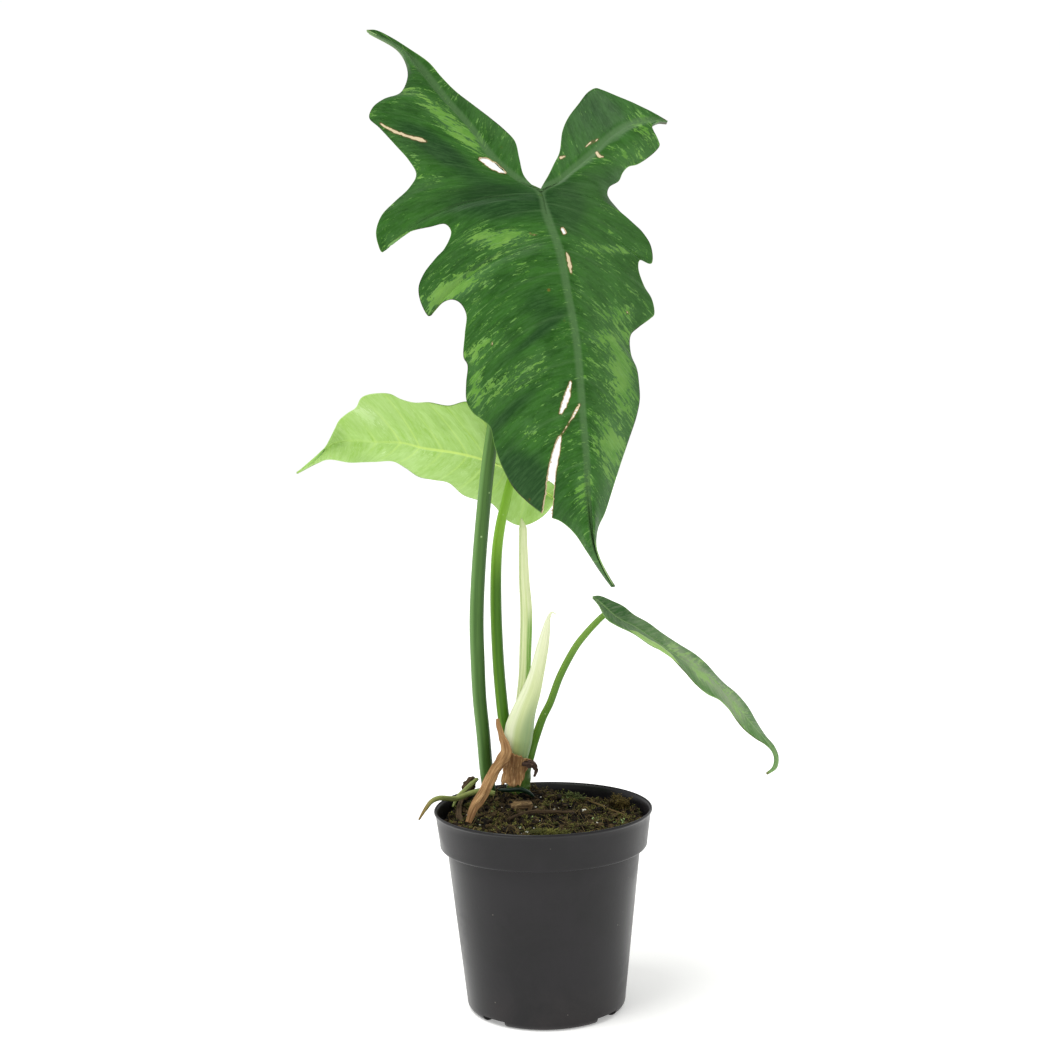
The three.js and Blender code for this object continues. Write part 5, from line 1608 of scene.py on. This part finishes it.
class PLANT_OT_remains(bpy.types.Operator):
    """Make the dry sheaths, the roots and the dead scraps"""
    bl_idname = "plant.remains"
    bl_label = "Dry sheaths and roots"

    def execute(self, context):
        make_collar()
        make_tube("dry_strip", DRY_STRIP_ROUTE, [0.9, 1.3, 1.5, 2.4, 3.1, 3, 2.8, 2.7, 2.7, 2.6, 2.5, 1.5],
                  "dry_sheath", ("dried_sheath_strip",), "sheath_dry", sides=56, steps=16, flat=0.42,
                  shape=crumpled(2, 0.14, 4, 1.4, 12))
        make_tube("dry_stub", DRY_STUB_ROUTE, [1.4, 2.1, 1.5, 0.9, 0.5],
                  "dark_sheath", ("dried_sheath_stub",), "sheath_dry", sides=40, steps=16, flat=0.35,
                  shape=crumpled(5, 0.24, 5, 1.0, 12))
        make_tube("long_root", LONG_ROOT_ROUTE, [1.6, 1.6, 1.5, 1.5, 1.4, 1.3, 1.1, 0.5],
                  "root_skin", ("aerial_root_long",), "live_root", sides=18, steps=12, facing=UP,
                  shape=crumpled(1, 0.05, 5))
        make_tube("short_root", SHORT_ROOT_ROUTE, [0.9, 1.4, 1.4, 1.2, 0.6],
                  "root_skin", ("aerial_root_short",), "live_root", sides=16, steps=12, facing=UP,
                  shape=crumpled(3, 0.07, 5))
        make_tube("old_stub", OLD_STUB_ROUTE, [1.0, 2.2, 2.4, 2.0, 0.9],
                  "old_stub_skin", ("old_petiole_stub",), "stalk_green", sides=24, steps=12, flat=0.55,
                  facing=UP,
                  shape=crumpled(7, 0.08, 3, 1.0))
        make_tube("left_dead_root", LEFT_DEAD_ROOT_ROUTE, [1, 1.6, 1.6, 0.7],
                  "dead_fibre", ("dead_root_left",), "dead_scrap", sides=20, steps=12, flat=0.6, facing=UP,
                  shape=crumpled(4, 0.22, 4))
        make_tube("front_dead_root", FRONT_DEAD_ROOT_ROUTE, [0.9, 1.2, 1.1, 0.7],
                  "dead_fibre", ("dead_root_front",), "dead_scrap", sides=12, steps=10, facing=UP,
                  shape=crumpled(6, 0.16, 3))
        make_tube("twig", TWIG_ROUTE, [0.5, 0.55, 0.5, 0.35],
                  "twig_skin", ("thin_twig",), "bark", sides=12, steps=8, facing=UP)
        make_tube("leaf_scrap", LEAF_SCRAP_ROUTE, [0.8, 2.6, 3, 1.5],
                  "dead_fibre", ("dried_leaf_scrap",), "dead_scrap", sides=30, steps=14, flat=0.35,
                  shape=crumpled(8, 0.3, 5))
        make_bark("bark", "bark_chip", -12, 8.5, (6.6, 3.6, 2.3), 0.12, 3)
        return {"FINISHED"}


class PLANT_OT_mix(bpy.types.Operator):
    """Make the potting mix with its crumbs, fibres, moss and perlite"""
    bl_idname = "plant.mix"
    bl_label = "Potting mix"

    def execute(self, context):
        settings = context.scene.plant_mix
        seed = settings.seed
        make_mix_body()
        make_crumbs(settings.crumbs, settings.chips, seed)
        make_strands(settings.strands, seed + 1)
        make_ground_moss(settings.moss, seed + 2)
        make_small_grains(settings.grains, seed + 3)
        make_moss("right_moss", "moss_clump_right", 43, 22, (6, 5), 70, 7.5, "moss_brown", seed + 4)
        make_moss("back_moss", "moss_clump_back", 18, 36, (6, 4.5), 60, 5.0, "moss_green", seed + 5)
        make_moss("left_moss", "moss_clump_left", -40, 18, (3.5, 4), 40, 4.0, "moss_olive", seed + 6)
        make_moss("front_moss", "moss_clump_front", 2, -34, (11, 6), 120, 4.0, "moss_olive", seed + 7)
        make_sprouts(SPROUTS, seed + 11)
        make_grain("front_grain", "perlite_grain_front", 18, -35, 2.2, seed + 8)
        make_grain("middle_grain", "perlite_grain_middle", 23, 14, 1.8, seed + 9)
        make_grain("left_grain", "perlite_grain_left", -9, -26, 1.5, seed + 10)
        return {"FINISHED"}


class PLANT_OT_stage(bpy.types.Operator):
    """Make the floor, the lights and the camera"""
    bl_idname = "plant.stage"
    bl_label = "Stage"

    def execute(self, context):
        scene = context.scene
        settings = scene.plant_stage
        bm = bmesh.new()
        bmesh.ops.create_grid(bm, x_segments=1, y_segments=1, size=FLOOR_HALF)
        mesh = bpy.data.meshes.new("floor")
        bm.to_mesh(mesh)
        bm.free()
        floor = bpy.data.objects.new("floor", mesh)
        scene.collection.objects.link(floor)
        white, n, shader, place, _ = new_material("floor_white", 0.95, 0.0)
        n.feed(shader.inputs["Base Color"], n.blend(n.noise(place, 3.0, 2.0), "f4f4f2", "f8f8f6"))
        shader.inputs["Emission Color"].default_value = (1.0, 1.0, 0.99, 1.0)
        shader.inputs["Emission Strength"].default_value = settings.floor_glow
        mesh.materials.append(white)
        sky = bpy.data.worlds.new("studio")
        sky.use_nodes = True
        air = Nodes(sky.node_tree)
        seen = air.add("LightPath").outputs["Is Camera Ray"]
        strength = air.plus(settings.sky, air.times(seen, SEEN_SKY - settings.sky))
        air.feed(sky.node_tree.nodes["Background"].inputs["Strength"], strength)
        sky.node_tree.nodes["Background"].inputs["Color"].default_value = (1, 1, 1, 1)
        scene.world = sky
        data = bpy.data.lights.new("window", "SUN")
        data.energy = settings.sun
        data.angle = math.radians(settings.softness)
        lamp = bpy.data.objects.new("window", data)
        scene.collection.objects.link(lamp)
        lamp.rotation_euler = WINDOW_FROM.to_track_quat("Z", "Y").to_euler()
        scene.view_settings.view_transform = "Standard"
        data = bpy.data.cameras.new("camera")
        data.lens = settings.lens
        data.sensor_width = 36.0
        camera = bpy.data.objects.new("camera", data)
        scene.collection.objects.link(camera)
        aim = Matrix.Rotation(math.pi / 2 - CAMERA_PITCH, 4, "X") @ Matrix.Rotation(CAMERA_ROLL, 4, "Z")
        camera.matrix_world = Matrix.Translation(CAMERA_PLACE) @ aim
        scene.camera = camera
        return {"FINISHED"}


class PLANT_PT_panel(bpy.types.Panel):
    """Lists the steps that build the plant"""
    bl_idname = "PLANT_PT_panel"
    bl_label = "Potted philodendron"
    bl_space_type = "VIEW_3D"
    bl_region_type = "UI"
    bl_category = "Plant"

    def draw(self, context):
        scene = context.scene
        groups = (
            (None, ("plant.materials",)),
            (scene.plant_pot, ("plant.pot",)),
            (scene.plant_leaves, ("plant.leaves",)),
            (scene.plant_stalks, ("plant.stalks",)),
            (None, ("plant.remains",)),
            (scene.plant_mix, ("plant.mix",)),
            (scene.plant_stage, ("plant.stage",)),
        )
        for settings, operators in groups:
            box = self.layout.box()
            if settings:
                for key in settings.__annotations__:
                    box.prop(settings, key)
            for operator in operators:
                box.operator(operator)


SETTINGS = {
    "plant_pot": PotSettings,
    "plant_leaves": LeafSettings,
    "plant_stalks": StalkSettings,
    "plant_mix": MixSettings,
    "plant_stage": StageSettings,
}
OPERATORS = (
    PLANT_OT_materials,
    PLANT_OT_pot,
    PLANT_OT_leaves,
    PLANT_OT_stalks,
    PLANT_OT_remains,
    PLANT_OT_mix,
    PLANT_OT_stage,
)


def register():
    for name, group in SETTINGS.items():
        bpy.utils.register_class(group)
        setattr(bpy.types.Scene, name, bpy.props.PointerProperty(type=group))
    for operator in OPERATORS:
        bpy.utils.register_class(operator)
    bpy.utils.register_class(PLANT_PT_panel)


def unregister():
    bpy.utils.unregister_class(PLANT_PT_panel)
    for operator in reversed(OPERATORS):
        bpy.utils.unregister_class(operator)
    for name, group in reversed(SETTINGS.items()):
        delattr(bpy.types.Scene, name)
        bpy.utils.unregister_class(group)


def main():
    register()
    bpy.ops.plant.materials()
    bpy.ops.plant.pot()
    bpy.ops.plant.leaves()
    bpy.ops.plant.stalks()
    bpy.ops.plant.remains()
    bpy.ops.plant.mix()
    bpy.ops.plant.stage()


if __name__ == "__main__":
    main()
